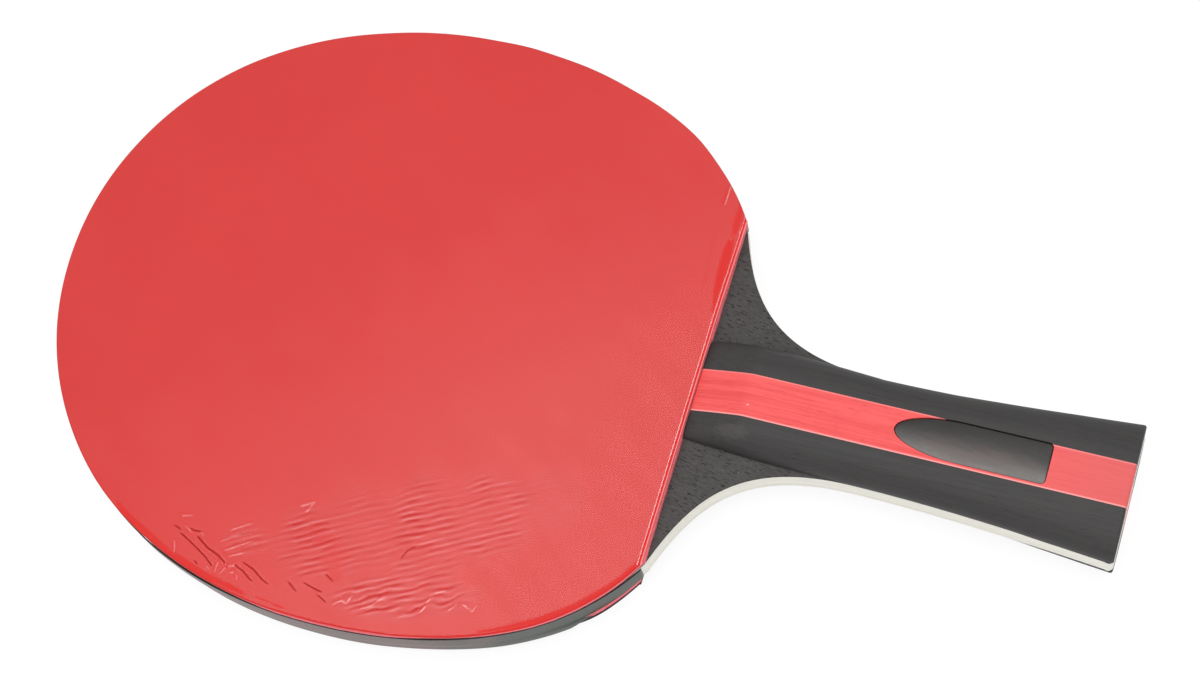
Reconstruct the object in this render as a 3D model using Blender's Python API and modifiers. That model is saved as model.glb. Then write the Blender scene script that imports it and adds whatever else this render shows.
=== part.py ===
"""Table tennis racket: a five-ply blade, a rubber on each face, edge tape and a flared handle.

The racket lies flat. X runs from the blade's tip to the handle's butt, Y across the blade and Z up,
out of the red front face. The origin is under the middle of the racket, level with the handle's
back. "Right" is +Y and "left" is -Y, as the front is seen with the handle pointing down.
All lengths are in metres; distances called "behind" run from the rubber's straight edge to the butt.
"""

import math

import bmesh
import bpy

MM = 0.001

# Blade outline
HEAD_LENGTH = 157.8 * MM
HEAD_WIDTH = 149.7 * MM
HEAD_WIDEST_FROM_TIP = 83.8 * MM
SHOULDER_WIDTH = 84.8 * MM
TIP_FULLNESS = 2.03
SHOULDER_FULLNESS = 2.37
HANDLE_LENGTH = 100.0 * MM
WAIST_BEHIND = 40.0 * MM
WAIST_WIDTH = 26.1 * MM
BUTT_WIDTH = 32.8 * MM
BUTT_CORNER_RADIUS = 1.2 * MM
WING_LEAN = math.radians(70.5)
WING_PULL = 16.2 * MM
WAIST_PULL_FORWARD = 28.0 * MM
WAIST_PULL_BACK = 19.7 * MM
FLARE_PULL = 19.8 * MM
FLARE_LEAN = math.radians(5.1)

# Layers, from the middle of the blade outwards
CORE_THICKNESS = 2.8 * MM
MEDIAL_THICKNESS = 1.0 * MM
OUTER_THICKNESS = 0.6 * MM
SPONGE_THICKNESS = 1.5 * MM
TOPSHEET_THICKNESS = 1.6 * MM
TOPSHEET_RIM_RADIUS = 0.9 * MM
FILM_THICKNESS = 0.1 * MM
GLUE_LINE = 0.1 * MM
TOPSHEET_SETBACK = 0.15 * MM
FILM_MARGIN = 0.5 * MM

# Edge tape
TAPE_THICKNESS = 0.35 * MM
TAPE_END_MARGIN = 0.6 * MM
TAPE_CUT_LENGTH = 20.0 * MM
TAPE_CUT_RISE = 3.1 * MM

# Handle scales, each of three strips
SCALE_THICKNESS = 6.7 * MM
CENTRE_STRIP_WIDTH = 10.5 * MM
SCALE_LIP = 1.9 * MM
SCALE_SLOPE_LENGTH = 12.6 * MM
SCALE_SLOPE_CURVE = 1.1
SCALE_FRONT_WIDTH = 22.0 * MM
SCALE_ROOT_WIDENING = 0.6 * MM
SCALE_NOSE_LENGTH = 14.0 * MM
SCALE_SIDE_WALL = 0.3 * MM
SCALE_BUTT_CHAMFER = 0.6 * MM
FIT_CLEARANCE = 0.3 * MM

# Blank badge, set in a recess of the front scale
BADGE_RECESS_LENGTH = 35.2 * MM
BADGE_RECESS_WIDTH = 9.9 * MM
BADGE_RECESS_DEPTH = 1.8 * MM
BADGE_NOSE_LENGTH = 15.5 * MM
BADGE_CORNER_RADIUS = 1.2 * MM
BADGE_NOSE_BEHIND = 46.6 * MM
BADGE_SIDE_SHIFT = 0.35 * MM
BADGE_PAD_THICKNESS = 0.3 * MM
BADGE_THICKNESS = 1.0 * MM
BADGE_EDGE_RADIUS = 0.3 * MM

# Smoothness of the curves: steps along each, and the angles that count as edges
TIP_STEPS = 24
SHOULDER_STEPS = 18
WING_STEPS = 12
FLARE_STEPS = 8
CORNER_STEPS = 4
SECTION_STEPS = 7
NOSE_STEPS = 10
SLOPE_STEPS = 8
BODY_STEPS = 14
BEVEL_STEPS = 3
BEVEL_ANGLE = math.radians(60)
SMOOTH_ANGLE = math.radians(35)
MERGE_DISTANCE = 0.01 * MM

# Heights above the middle of the blade
CORE_TOP = CORE_THICKNESS / 2
MEDIAL_BOTTOM = CORE_TOP + GLUE_LINE
MEDIAL_TOP = MEDIAL_BOTTOM + MEDIAL_THICKNESS
OUTER_BOTTOM = MEDIAL_TOP + GLUE_LINE
BLADE_TOP = OUTER_BOTTOM + OUTER_THICKNESS
SPONGE_BOTTOM = BLADE_TOP + GLUE_LINE
SPONGE_TOP = SPONGE_BOTTOM + SPONGE_THICKNESS
TOPSHEET_BOTTOM = SPONGE_TOP + GLUE_LINE
TOPSHEET_TOP = TOPSHEET_BOTTOM + TOPSHEET_THICKNESS
FILM_BOTTOM = TOPSHEET_TOP + GLUE_LINE
FILM_TOP = FILM_BOTTOM + FILM_THICKNESS
SCALE_BOTTOM = BLADE_TOP + GLUE_LINE
SCALE_TOP = SCALE_BOTTOM + SCALE_THICKNESS
RECESS_FLOOR = SCALE_TOP - BADGE_RECESS_DEPTH
PAD_TOP = RECESS_FLOOR + GLUE_LINE + BADGE_PAD_THICKNESS
BADGE_BOTTOM = PAD_TOP + GLUE_LINE
BADGE_TOP = BADGE_BOTTOM + BADGE_THICKNESS

# Places along X, with the origin midway between the taped tip and the butt
TAPE_REACH = GLUE_LINE + TAPE_THICKNESS
EDGE_X = (HEAD_LENGTH + TAPE_REACH - HANDLE_LENGTH) / 2
TIP_X = EDGE_X - HEAD_LENGTH
WIDEST_X = TIP_X + HEAD_WIDEST_FROM_TIP
BUTT_X = EDGE_X + HANDLE_LENGTH
MID_HEIGHT = SCALE_TOP

# Colours, linear
RED_RUBBER = (0.72, 0.065, 0.06)
PINK_SPONGE = (0.78, 0.16, 0.20)
BLACK_RUBBER = (0.022, 0.022, 0.024)
PALE_WOOD = (0.80, 0.70, 0.54)
CORE_WOOD = (0.84, 0.76, 0.62)
BLACK_WOOD = (0.066, 0.064, 0.068)
RED_WOOD = (0.90, 0.155, 0.15)
TAPE_GREY = (0.085, 0.092, 0.085)
CLEAR_FILM = (0.93, 0.90, 0.90)
BADGE_GREY = (0.13, 0.13, 0.125)
PAD_WHITE = (0.75, 0.75, 0.72)


def clear_scene():
    """Removes everything that the file opened with."""
    for obj in list(bpy.data.objects):
        bpy.data.objects.remove(obj, do_unlink=True)


def new_collection(name):
    """A collection linked to the scene."""
    collection = bpy.data.collections.new(name)
    bpy.context.scene.collection.children.link(collection)
    return collection


def new_material(name, colour, roughness, alpha=1.0):
    """A plain Principled finish; none of the racket's parts is metal."""
    finish = bpy.data.materials.new(name)
    finish.use_nodes = True
    shader = finish.node_tree.nodes["Principled BSDF"]
    shader.inputs["Base Color"].default_value = (*colour, 1.0)
    shader.inputs["Roughness"].default_value = roughness
    shader.inputs["Metallic"].default_value = 0.0
    shader.inputs["Alpha"].default_value = alpha
    finish.diffuse_color = (*colour, alpha)
    return finish


def quarter_arc(steps):
    """Angles of a quarter turn, both ends included."""
    return [math.pi / 2 * i / steps for i in range(steps + 1)]


def bezier(start, pull_start, pull_end, end, steps):
    """Points of a cubic curve after its start, up to and including its end."""
    points = []
    for i in range(1, steps + 1):
        t = i / steps
        weights = ((1 - t) ** 3, 3 * t * (1 - t) ** 2, 3 * t**2 * (1 - t), t**3)
        corners = (start, pull_start, pull_end, end)
        points.append(tuple(sum(w * p[k] for w, p in zip(weights, corners)) for k in (0, 1)))
    return points


def shoulder_reach():
    """How far behind its widest line the head's curve would close, so that it passes the shoulder."""
    share = (SHOULDER_WIDTH / HEAD_WIDTH) ** SHOULDER_FULLNESS
    return (EDGE_X - WIDEST_X) / (1 - share) ** (1 / SHOULDER_FULLNESS)


def head_half():
    """The head's right half, from the tip to the shoulder at the straight edge."""
    half_width = HEAD_WIDTH / 2
    points = []
    for angle in quarter_arc(TIP_STEPS):
        across = math.sin(angle) ** (2 / TIP_FULLNESS)
        along = abs(math.cos(angle)) ** (2 / TIP_FULLNESS)
        points.append((WIDEST_X - HEAD_WIDEST_FROM_TIP * along, half_width * across))
    reach = shoulder_reach()
    last_angle = math.asin(((EDGE_X - WIDEST_X) / reach) ** (SHOULDER_FULLNESS / 2))
    for i in range(1, SHOULDER_STEPS + 1):
        angle = last_angle * i / SHOULDER_STEPS
        along = math.sin(angle) ** (2 / SHOULDER_FULLNESS)
        across = math.cos(angle) ** (2 / SHOULDER_FULLNESS)
        points.append((WIDEST_X + reach * along, half_width * across))
    return points


def handle_half():
    """The right edge of the wing and of the handle, behind the shoulder."""
    shoulder = (EDGE_X, SHOULDER_WIDTH / 2)
    waist = (EDGE_X + WAIST_BEHIND, WAIST_WIDTH / 2)
    butt = (BUTT_X, BUTT_WIDTH / 2)
    leaving = (
        shoulder[0] + WING_PULL * math.cos(WING_LEAN),
        shoulder[1] - WING_PULL * math.sin(WING_LEAN),
    )
    wing = bezier(shoulder, leaving, (waist[0] - WAIST_PULL_FORWARD, waist[1]), waist, WING_STEPS)
    arriving = (
        butt[0] - FLARE_PULL * math.cos(FLARE_LEAN),
        butt[1] - FLARE_PULL * math.sin(FLARE_LEAN),
    )
    return wing + bezier(waist, (waist[0] + WAIST_PULL_BACK, waist[1]), arriving, butt, FLARE_STEPS)


def mirrored(half):
    """A closed outline from its right half, which starts on the centre line."""
    return half + [(x, -y) for x, y in reversed(half[1:])]


def blade_outline():
    """The plies' shape: head, wings and handle, with the butt's corners rounded."""
    half = head_half() + handle_half()
    butt_x, butt_y = half.pop()
    half = [point for point in half if point[0] < butt_x - BUTT_CORNER_RADIUS]
    for angle in quarter_arc(CORNER_STEPS):
        x = butt_x - BUTT_CORNER_RADIUS * (1 - math.sin(angle))
        y = butt_y - BUTT_CORNER_RADIUS * (1 - math.cos(angle))
        half.append((x, y))
    return mirrored(half)


def blade_half_width(x):
    """Half the blade's width at x, anywhere behind the straight edge."""
    edge = [(EDGE_X, SHOULDER_WIDTH / 2)] + handle_half()
    for (x0, y0), (x1, y1) in zip(edge, edge[1:]):
        if x <= x1:
            return y0 + (y1 - y0) * (x - x0) / (x1 - x0)
    return edge[-1][1]


def head_normals(points):
    """The outward direction at each point of an open run, from its neighbours."""
    normals = []
    for i in range(len(points)):
        before = points[max(i - 1, 0)]
        after = points[min(i + 1, len(points) - 1)]
        dx, dy = after[0] - before[0], after[1] - before[1]
        length = math.hypot(dx, dy)
        normals.append((-dy / length, dx / length))
    return normals


def head_run(margin, end_x):
    """The head's edge from the left shoulder round the tip to the right one.

    It stands out by margin, or in if that is negative, and both ends are cut at end_x.
    """
    half = head_half()
    full = [(x, -y) for x, y in reversed(half[1:])] + half
    moved = [(x + margin * nx, y + margin * ny) for (x, y), (nx, ny) in zip(full, head_normals(full))]
    run = [point for point in moved if point[0] < end_x]
    outside = moved[moved.index(run[-1]) + 1 :]
    before = run[-1]
    after = outside[0] if outside else before
    if after[0] > before[0]:
        share = (end_x - before[0]) / (after[0] - before[0])
        y_end = before[1] + share * (after[1] - before[1])
    else:
        y_end = before[1]
    return [(end_x, -y_end)] + run + [(end_x, y_end)]


def rubber_outline(margin, setback):
    """A rubber's shape: the head's edge, closed by the straight edge, drawn in as asked."""
    return head_run(-margin, EDGE_X - setback)


def badge_outline(clearance):
    """The badge's shape, drawn in by a clearance: an elliptical nose and two rounded corners."""
    half_width = BADGE_RECESS_WIDTH / 2 - clearance
    nose_x = EDGE_X + BADGE_NOSE_BEHIND + clearance
    nose_length = BADGE_NOSE_LENGTH - clearance
    end_x = EDGE_X + BADGE_NOSE_BEHIND + BADGE_RECESS_LENGTH - clearance
    radius = BADGE_CORNER_RADIUS - clearance
    half = []
    for angle in quarter_arc(NOSE_STEPS):
        half.append((nose_x + nose_length * (1 - math.cos(angle)), half_width * math.sin(angle)))
    for angle in quarter_arc(CORNER_STEPS):
        half.append((end_x - radius * (1 - math.sin(angle)), half_width - radius * (1 - math.cos(angle))))
    half.append((end_x, 0.0))
    return [(x, y + BADGE_SIDE_SHIFT) for x, y in half + [(x, -y) for x, y in reversed(half[1:-1])]]


def plate(name, outline, bottom, top, collection, finish=None):
    """A flat piece: a filled outline with a thickness, between two heights over the blade's middle."""
    data = bpy.data.curves.new(name, "CURVE")
    data.dimensions = "2D"
    data.fill_mode = "BOTH"
    data.extrude = (top - bottom) / 2
    spline = data.splines.new("POLY")
    spline.points.add(len(outline) - 1)
    for point, (x, y) in zip(spline.points, outline):
        point.co = (x, y, 0.0, 1.0)
    spline.use_cyclic_u = True
    if finish:
        data.materials.append(finish)
    obj = bpy.data.objects.new(name, data)
    obj.location.z = MID_HEIGHT + (bottom + top) / 2
    collection.objects.link(obj)
    return obj


def as_mesh(obj):
    """Turns a plate into a closed mesh of the same name and place, each of its faces in one piece."""
    bpy.context.view_layer.update()
    graph = bpy.context.evaluated_depsgraph_get()
    mesh = bpy.data.meshes.new_from_object(obj.evaluated_get(graph))
    shape = bmesh.new()
    shape.from_mesh(mesh)
    bmesh.ops.remove_doubles(shape, verts=shape.verts, dist=MERGE_DISTANCE)
    bmesh.ops.recalc_face_normals(shape, faces=shape.faces)
    flat = [face for face in shape.faces if round(abs(face.normal.z))]
    bmesh.ops.dissolve_faces(shape, faces=flat)
    shape.to_mesh(mesh)
    shape.free()
    name = obj.name
    place = obj.matrix_world.copy()
    collection = obj.users_collection[0]
    bpy.data.objects.remove(obj, do_unlink=True)
    solid = bpy.data.objects.new(name, mesh)
    solid.matrix_world = place
    collection.objects.link(solid)
    return solid


def round_edges(obj, width):
    """Rounds the edges between a plate's faces and its sides."""
    bevel = obj.modifiers.new("rounded_edges", "BEVEL")
    bevel.width = width
    bevel.segments = BEVEL_STEPS
    bevel.limit_method = "ANGLE"
    bevel.angle_limit = BEVEL_ANGLE
    bevel.use_clamp_overlap = False


def loft(name, sections, collection, finish):
    """A solid skinned over closed sections that all have the same number of points."""
    shape = bmesh.new()
    rings = [[shape.verts.new(point) for point in section] for section in sections]
    for ring, following in zip(rings, rings[1:]):
        for i in range(len(ring)):
            j = (i + 1) % len(ring)
            shape.faces.new((ring[i], ring[j], following[j], following[i]))
    shape.faces.new(rings[0])
    shape.faces.new(rings[-1])
    bmesh.ops.recalc_face_normals(shape, faces=shape.faces)
    mesh = bpy.data.meshes.new(name)
    shape.to_mesh(mesh)
    shape.free()
    mesh.materials.append(finish)
    mesh.shade_smooth()
    mesh.set_sharp_from_angle(angle=SMOOTH_ANGLE)
    obj = bpy.data.objects.new(name, mesh)
    obj.location.z = MID_HEIGHT
    collection.objects.link(obj)
    return obj


def add_blade(parts):
    """The five plies; both outer ones are dyed black."""
    outline = blade_outline()
    core = new_material("core_wood", CORE_WOOD, 0.7)
    pale = new_material("medial_wood", PALE_WOOD, 0.7)
    black = new_material("black_dyed_veneer", BLACK_WOOD, 0.6)
    plate("core_ply", outline, -CORE_TOP, CORE_TOP, parts, core)
    plate("front_medial_ply", outline, MEDIAL_BOTTOM, MEDIAL_TOP, parts, pale)
    plate("back_medial_ply", outline, -MEDIAL_TOP, -MEDIAL_BOTTOM, parts, pale)
    plate("front_outer_ply", outline, OUTER_BOTTOM, BLADE_TOP, parts, black)
    plate("back_outer_ply", outline, -BLADE_TOP, -OUTER_BOTTOM, parts, black)


def add_rubbers(parts):
    """A sponge and a topsheet on each face, and the clear film over the front one."""
    sponge_outline = rubber_outline(0.0, 0.0)
    sheet_outline = rubber_outline(0.0, TOPSHEET_SETBACK)
    sponge = new_material("pink_sponge", PINK_SPONGE, 0.85)
    red = new_material("red_rubber", RED_RUBBER, 0.35)
    black = new_material("black_rubber", BLACK_RUBBER, 0.35)
    plate("front_sponge", sponge_outline, SPONGE_BOTTOM, SPONGE_TOP, parts, sponge)
    plate("back_sponge", sponge_outline, -SPONGE_TOP, -SPONGE_BOTTOM, parts, sponge)
    front = as_mesh(plate("front_topsheet", sheet_outline, TOPSHEET_BOTTOM, TOPSHEET_TOP, parts, red))
    back = as_mesh(plate("back_topsheet", sheet_outline, -TOPSHEET_TOP, -TOPSHEET_BOTTOM, parts, black))
    for sheet, outward in ((front, 1), (back, -1)):
        roll_rim(sheet, outward)
    clear = new_material("clear_film", CLEAR_FILM, 0.15, alpha=0.2)
    film_outline = rubber_outline(FILM_MARGIN, TOPSHEET_SETBACK + FILM_MARGIN)
    plate("front_protective_film", film_outline, FILM_BOTTOM, FILM_TOP, parts, clear)


def roll_rim(sheet, outward):
    """Rounds a topsheet's outer rim. Its straight edge, and its edge on the sponge, stay square."""
    mesh = sheet.data
    cut_x = EDGE_X - TOPSHEET_SETBACK - GLUE_LINE
    weights = mesh.attributes.new("bevel_weight_edge", "FLOAT", "EDGE")
    for edge in mesh.edges:
        ends = [mesh.vertices[i].co for i in edge.vertices]
        outer = min(end.z * outward for end in ends) > 0 and min(end.x for end in ends) < cut_x
        sides = [face for face in mesh.polygons if edge.key in face.edge_keys]
        flat = [round(abs(face.normal.z)) for face in sides]
        weights.data[edge.index].value = float(outer and min(flat) != max(flat))
    bevel = sheet.modifiers.new("rolled_rim", "BEVEL")
    bevel.width = TOPSHEET_RIM_RADIUS
    bevel.segments = BEVEL_STEPS
    bevel.limit_method = "WEIGHT"
    bevel.use_clamp_overlap = False


def tape_sections():
    """Sections of the tape along the head's edge; each end is cut on the slant from below."""
    end_x = EDGE_X - TAPE_END_MARGIN
    inner = head_run(GLUE_LINE, end_x)
    outer = head_run(GLUE_LINE + TAPE_THICKNESS, end_x)
    walked = [0.0]
    for (x0, y0), (x1, y1) in zip(inner, inner[1:]):
        walked.append(walked[-1] + math.hypot(x1 - x0, y1 - y0))
    sections = []
    for (xi, yi), (xo, yo), along in zip(inner, outer, walked):
        from_end = min(along, walked[-1] - along)
        low = -TOPSHEET_TOP + TAPE_CUT_RISE * max(0.0, 1 - from_end / TAPE_CUT_LENGTH)
        sections.append([(xi, yi, low), (xo, yo, low), (xo, yo, BLADE_TOP), (xi, yi, BLADE_TOP)])
    return sections


def scale_height(x):
    """The handle scale's top over the blade's middle: a curved slope at the front, then level."""
    lip = SCALE_BOTTOM + SCALE_LIP
    share = min((x - EDGE_X) / SCALE_SLOPE_LENGTH, 1.0)
    return lip + (SCALE_TOP - lip) * (1 - (1 - share) ** SCALE_SLOPE_CURVE)


def scale_half_width(x):
    """Half the scale's width: rounded in at the nose, and flush with the blade from the waist on."""
    if x > EDGE_X + WAIST_BEHIND:
        return blade_half_width(x)
    root = WAIST_WIDTH / 2 + SCALE_ROOT_WIDENING / 2
    left_over = max(0.0, 1 - (x - EDGE_X) / SCALE_NOSE_LENGTH)
    nose = SCALE_FRONT_WIDTH / 2 + (root - SCALE_FRONT_WIDTH / 2) * math.sqrt(1 - left_over**2)
    return min(nose, blade_half_width(x))


def scale_stations():
    """Places along the handle where its section is set, closer together on the slope."""
    front = EDGE_X + FIT_CLEARANCE
    kink = EDGE_X + SCALE_SLOPE_LENGTH
    back = BUTT_X - SCALE_BUTT_CHAMFER
    stations = [front + (kink - front) * i / SLOPE_STEPS for i in range(SLOPE_STEPS)]
    stations += [kink + (back - kink) * i / BODY_STEPS for i in range(BODY_STEPS + 1)]
    return stations + [BUTT_X]


def side_strip_sections(side, facing):
    """Sections of a side strip: square against the centre strip, a quarter ellipse outside."""
    inner_y = CENTRE_STRIP_WIDTH / 2 + GLUE_LINE / 2
    sections = []
    for x in scale_stations():
        chamfer = max(0.0, SCALE_BUTT_CHAMFER - (BUTT_X - x))
        reach = scale_half_width(x) - chamfer - inner_y
        wall = SCALE_BOTTOM + SCALE_SIDE_WALL
        rise = scale_height(x) - chamfer - wall
        section = [(x, side * inner_y, facing * SCALE_BOTTOM)]
        section.append((x, side * (inner_y + reach), facing * SCALE_BOTTOM))
        for angle in quarter_arc(SECTION_STEPS):
            y = inner_y + reach * math.cos(angle)
            z = wall + rise * math.sin(angle)
            section.append((x, side * y, facing * z))
        sections.append(section)
    return sections


def centre_strip_sections(facing):
    """Sections of the centre strip, which is flat on top."""
    half = CENTRE_STRIP_WIDTH / 2 - GLUE_LINE / 2
    sections = []
    for x in scale_stations():
        chamfer = max(0.0, SCALE_BUTT_CHAMFER - (BUTT_X - x))
        low, high = facing * SCALE_BOTTOM, facing * (scale_height(x) - chamfer)
        sections.append([(x, -half, low), (x, half, low), (x, half, high), (x, -half, high)])
    return sections


def add_scales(parts):
    """Six strips: a red centre and a black one each side of it, on both faces. Returns the front's."""
    black = new_material("black_dyed_wood", BLACK_WOOD, 0.55)
    red = new_material("red_dyed_wood", RED_WOOD, 0.5)
    front = []
    for face, facing in (("front", 1), ("back", -1)):
        strips = [loft(face + "_centre_strip", centre_strip_sections(facing), parts, red)]
        for side_name, side in (("right", 1), ("left", -1)):
            name = face + "_" + side_name + "_strip"
            strips.append(loft(name, side_strip_sections(side, facing), parts, black))
        if facing == 1:
            front = strips
    return front


def add_badge(parts, cutters, front_strips):
    """The blank badge on its adhesive pad, and the recess that holds them."""
    through = SCALE_TOP + SCALE_THICKNESS
    recess = as_mesh(plate("badge_recess", badge_outline(0.0), RECESS_FLOOR, through, cutters))
    recess.hide_render = True
    recess.display_type = "WIRE"
    for strip in front_strips:
        cut = strip.modifiers.new("badge_recess", "BOOLEAN")
        cut.operation = "DIFFERENCE"
        cut.solver = "EXACT"
        cut.object = recess
    inside = badge_outline(FIT_CLEARANCE)
    grey = new_material("badge_plastic", BADGE_GREY, 0.25)
    white = new_material("adhesive_pad", PAD_WHITE, 0.8)
    plate("badge_adhesive_pad", inside, RECESS_FLOOR + GLUE_LINE, PAD_TOP, parts, white)
    badge = as_mesh(plate("handle_badge", inside, BADGE_BOTTOM, BADGE_TOP, parts, grey))
    round_edges(badge, BADGE_EDGE_RADIUS)


def build():
    """Makes the racket's nineteen parts."""
    clear_scene()
    parts = new_collection("table_tennis_racket")
    cutters = new_collection("cutters")
    add_blade(parts)
    add_rubbers(parts)
    tape = new_material("edge_tape", TAPE_GREY, 0.3)
    loft("edge_tape", tape_sections(), parts, tape)
    front_strips = add_scales(parts)
    add_badge(parts, cutters, front_strips)


build()
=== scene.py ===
"""Table tennis racket: the finished surfaces of its blade, rubbers, clear film, edge tape and handle.

The racket lies flat, its red face up. X runs from the blade's tip to the handle's butt, Y across the
blade and Z up. Sizes are in millimetres until a piece is finished, and metres from there on. "Right"
is +Y and "left" is -Y, as the front is seen with the handle pointing down.
"""

import logging
import math
from abc import ABC, abstractmethod
from bisect import bisect_left
from collections.abc import Callable, Sequence
from dataclasses import dataclass, field
from enum import Enum
from functools import cached_property, lru_cache
from typing import Union

import bmesh
import bpy
from mathutils import Matrix, Vector, noise


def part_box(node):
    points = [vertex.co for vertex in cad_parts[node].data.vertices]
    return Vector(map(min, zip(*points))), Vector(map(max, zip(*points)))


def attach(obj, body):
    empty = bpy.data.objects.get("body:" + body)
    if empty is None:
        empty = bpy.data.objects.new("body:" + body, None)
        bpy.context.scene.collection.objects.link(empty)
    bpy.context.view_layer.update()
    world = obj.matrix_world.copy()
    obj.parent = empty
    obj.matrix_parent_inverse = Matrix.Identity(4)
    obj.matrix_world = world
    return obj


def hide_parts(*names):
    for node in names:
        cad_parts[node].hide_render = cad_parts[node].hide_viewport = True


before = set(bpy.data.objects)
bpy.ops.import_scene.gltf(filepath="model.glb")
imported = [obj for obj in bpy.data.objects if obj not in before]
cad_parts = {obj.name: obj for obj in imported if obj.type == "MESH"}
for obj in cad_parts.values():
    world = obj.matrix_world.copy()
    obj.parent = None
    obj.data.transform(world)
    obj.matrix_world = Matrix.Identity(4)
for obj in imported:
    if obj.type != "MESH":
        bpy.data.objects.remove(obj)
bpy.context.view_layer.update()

MM = 0.001
MERGE_DISTANCE = 0.0005
SHARP_ANGLE = math.radians(35)
VEIL = "veil"
SHADE = "shade"
QUARTER_TURN = math.pi / 2
MIX_FIRST, MIX_SECOND, MIX_RESULT = 6, 7, 2
MARK_REACH = 3.0

Socket = bpy.types.NodeSocket
Value = Union[float, tuple, Socket]
Inputs = dict[Union[int, str], Value]
Pair = tuple[float, float]
Colour = tuple[float, float, float]
Triple = tuple[float, float, float]

log = logging.getLogger("racket")


class Face(Enum):
    """The racket's two faces, each with the way its layers are stacked on the blade."""

    FRONT = 1
    BACK = -1

    def node(self, part: str) -> str:
        """The name of this face's node of a part."""
        return f"{self.name.lower()}_{part}"

    def heights(self, part: str) -> Pair:
        """The heights of a layer's side towards the blade and of its outer side, in millimetres."""
        low, high = span(self.node(part))
        return (low, high) if self is Face.FRONT else (high, low)


class Strip(Enum):
    """The three strips of a handle scale, each with its side of the centre line."""

    LEFT = -1
    CENTRE = 0
    RIGHT = 1

    @property
    def part(self) -> str:
        """The strip's part name, without its face."""
        return f"{self.name.lower()}_strip"


@lru_cache(maxsize=None)
def span(node: str) -> Pair:
    """A node's lowest and highest Z in the frame, in millimetres."""
    low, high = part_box(node)
    return low.z / MM, high.z / MM


def blade_middle() -> float:
    """The height of the blade's middle, in millimetres."""
    return sum(span("core_ply")) / 2


def wander(x: float, y: float, pitch: float, seed: float) -> float:
    """A smooth random field.

    Args:
        x: Place along the racket, in millimetres.
        y: Place across it.
        pitch: Length over which the field changes.
        seed: Sets one field apart from another.

    Returns:
        A value between about -1 and 1.
    """
    return noise.noise(Vector((x / pitch, y / pitch, seed)))


def ease(value: float, start: float, end: float) -> float:
    """A smooth step from 0 at start to 1 at end."""
    share = min(max((value - start) / (end - start), 0.0), 1.0)
    return share * share * (3 - 2 * share)


def hump(value: float, centre: float, reach: float) -> float:
    """A smooth hump: 1 at its centre, and 0 from reach on either side."""
    return 1 - ease(abs(value - centre), 0.0, reach)


def steps_to(end: float, count: int) -> list[float]:
    """Evenly spaced values from 0 to an end, both included."""
    return [end * i / count for i in range(count + 1)]


def read_off(table: Sequence[Pair], place: float) -> float:
    """Reads a value off a table, straight between its places and level past its ends.

    Args:
        table: Places in rising order, each with the value there.
        place: Where the value is wanted.

    Returns:
        The value.
    """
    if place <= table[0][0]:
        return table[0][1]
    for (start, low), (end, high) in zip(table, table[1:]):
        if place <= end:
            return low + (high - low) * (place - start) / (end - start)
    return table[-1][1]


def round_corner(corner: Vector, radius: float, steps: int) -> list[Vector]:
    """Points round an outline's corner, from its side to its end."""
    angles = steps_to(QUARTER_TURN, steps)
    return [corner - radius * Vector((1 - math.sin(angle), 1 - math.cos(angle))) for angle in angles]


def mirrored(half: Sequence[Vector]) -> list[Vector]:
    """The other half of an outline, from its last point back to the one after its first."""
    return [Vector((point.x, -point.y)) for point in reversed(half[1:])]


@dataclass(frozen=True)
class Wave:
    """A smooth swell along the head's edge, by its share of the run round the head."""

    centre: float
    reach: float
    height: float

    def at(self, share: float) -> float:
        """The swell's height at a share of the run."""
        return self.height * hump(share, self.centre, self.reach)


@dataclass(frozen=True)
class Trim:
    """How far an edge stands out from the blade's own, or in if negative, by the share of the run."""

    places: tuple[Pair, ...]
    blur: float = 0.006

    def at(self, share: float) -> float:
        """The edge's place at a share, softened between the known ones."""
        spots = (share + self.blur * step for step in (-1, -0.5, 0, 0.5, 1))
        return sum(read_off(self.places, spot) for spot in spots) / 5


FRONT_TRIM = Trim((
    (0.0, 0.03), (0.006, 0.11), (0.025, 0.38), (0.049, 0.55), (0.067, 0.58), (0.085, 0.36), (0.109, 0.16),
    (0.1275, 0.06), (0.138, 0.22), (0.146, 0.35), (0.158, 0.3), (0.17, 0.36), (0.19, 0.42), (0.208, 0.33),
    (0.2175, 0.3), (0.227, 0.2), (0.246, 0.0), (0.266, -0.06), (0.285, -0.05), (0.304, 0.07), (0.323, 0.18),
    (0.343, 0.2), (0.362, 0.07), (0.38, -0.12), (0.42, -0.32), (0.48, -0.5), (0.52, -0.46), (0.57, -0.43),
    (0.61, -0.21), (0.65, -0.16), (0.67, -0.28), (0.7, -0.42), (0.735, -0.6), (0.77, -0.33), (0.8, -0.03),
    (0.82, 0.28), (0.84, 0.0), (0.86, -0.06), (0.89, -0.38), (0.93, 0.1), (0.94, 0.25), (0.96, 0.0),
    (0.99, 0.18),
))
FRONT_OVERHANG = Trim((
    (0.0, 0.4), (0.12, 0.4), (0.14, 0.15), (0.155, 0.0), (0.21, 0.0), (0.24, 0.1), (0.3, 0.0)
))
BACK_TRIM = Trim((
    (0.0, 0.0), (0.02, 0.45), (0.034, 0.8), (0.041, 0.7), (0.048, 0.4), (0.06, -0.1), (0.08, -0.4)
))
BACK_SPONGE_TRIM = Trim((
    (0.0, 0.1), (0.02, 0.45), (0.034, 0.75), (0.041, 0.65), (0.048, 0.3), (0.055, -0.2), (0.07, -0.5)
))
LEVEL = Trim(((0.0, 0.0),))


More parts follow.
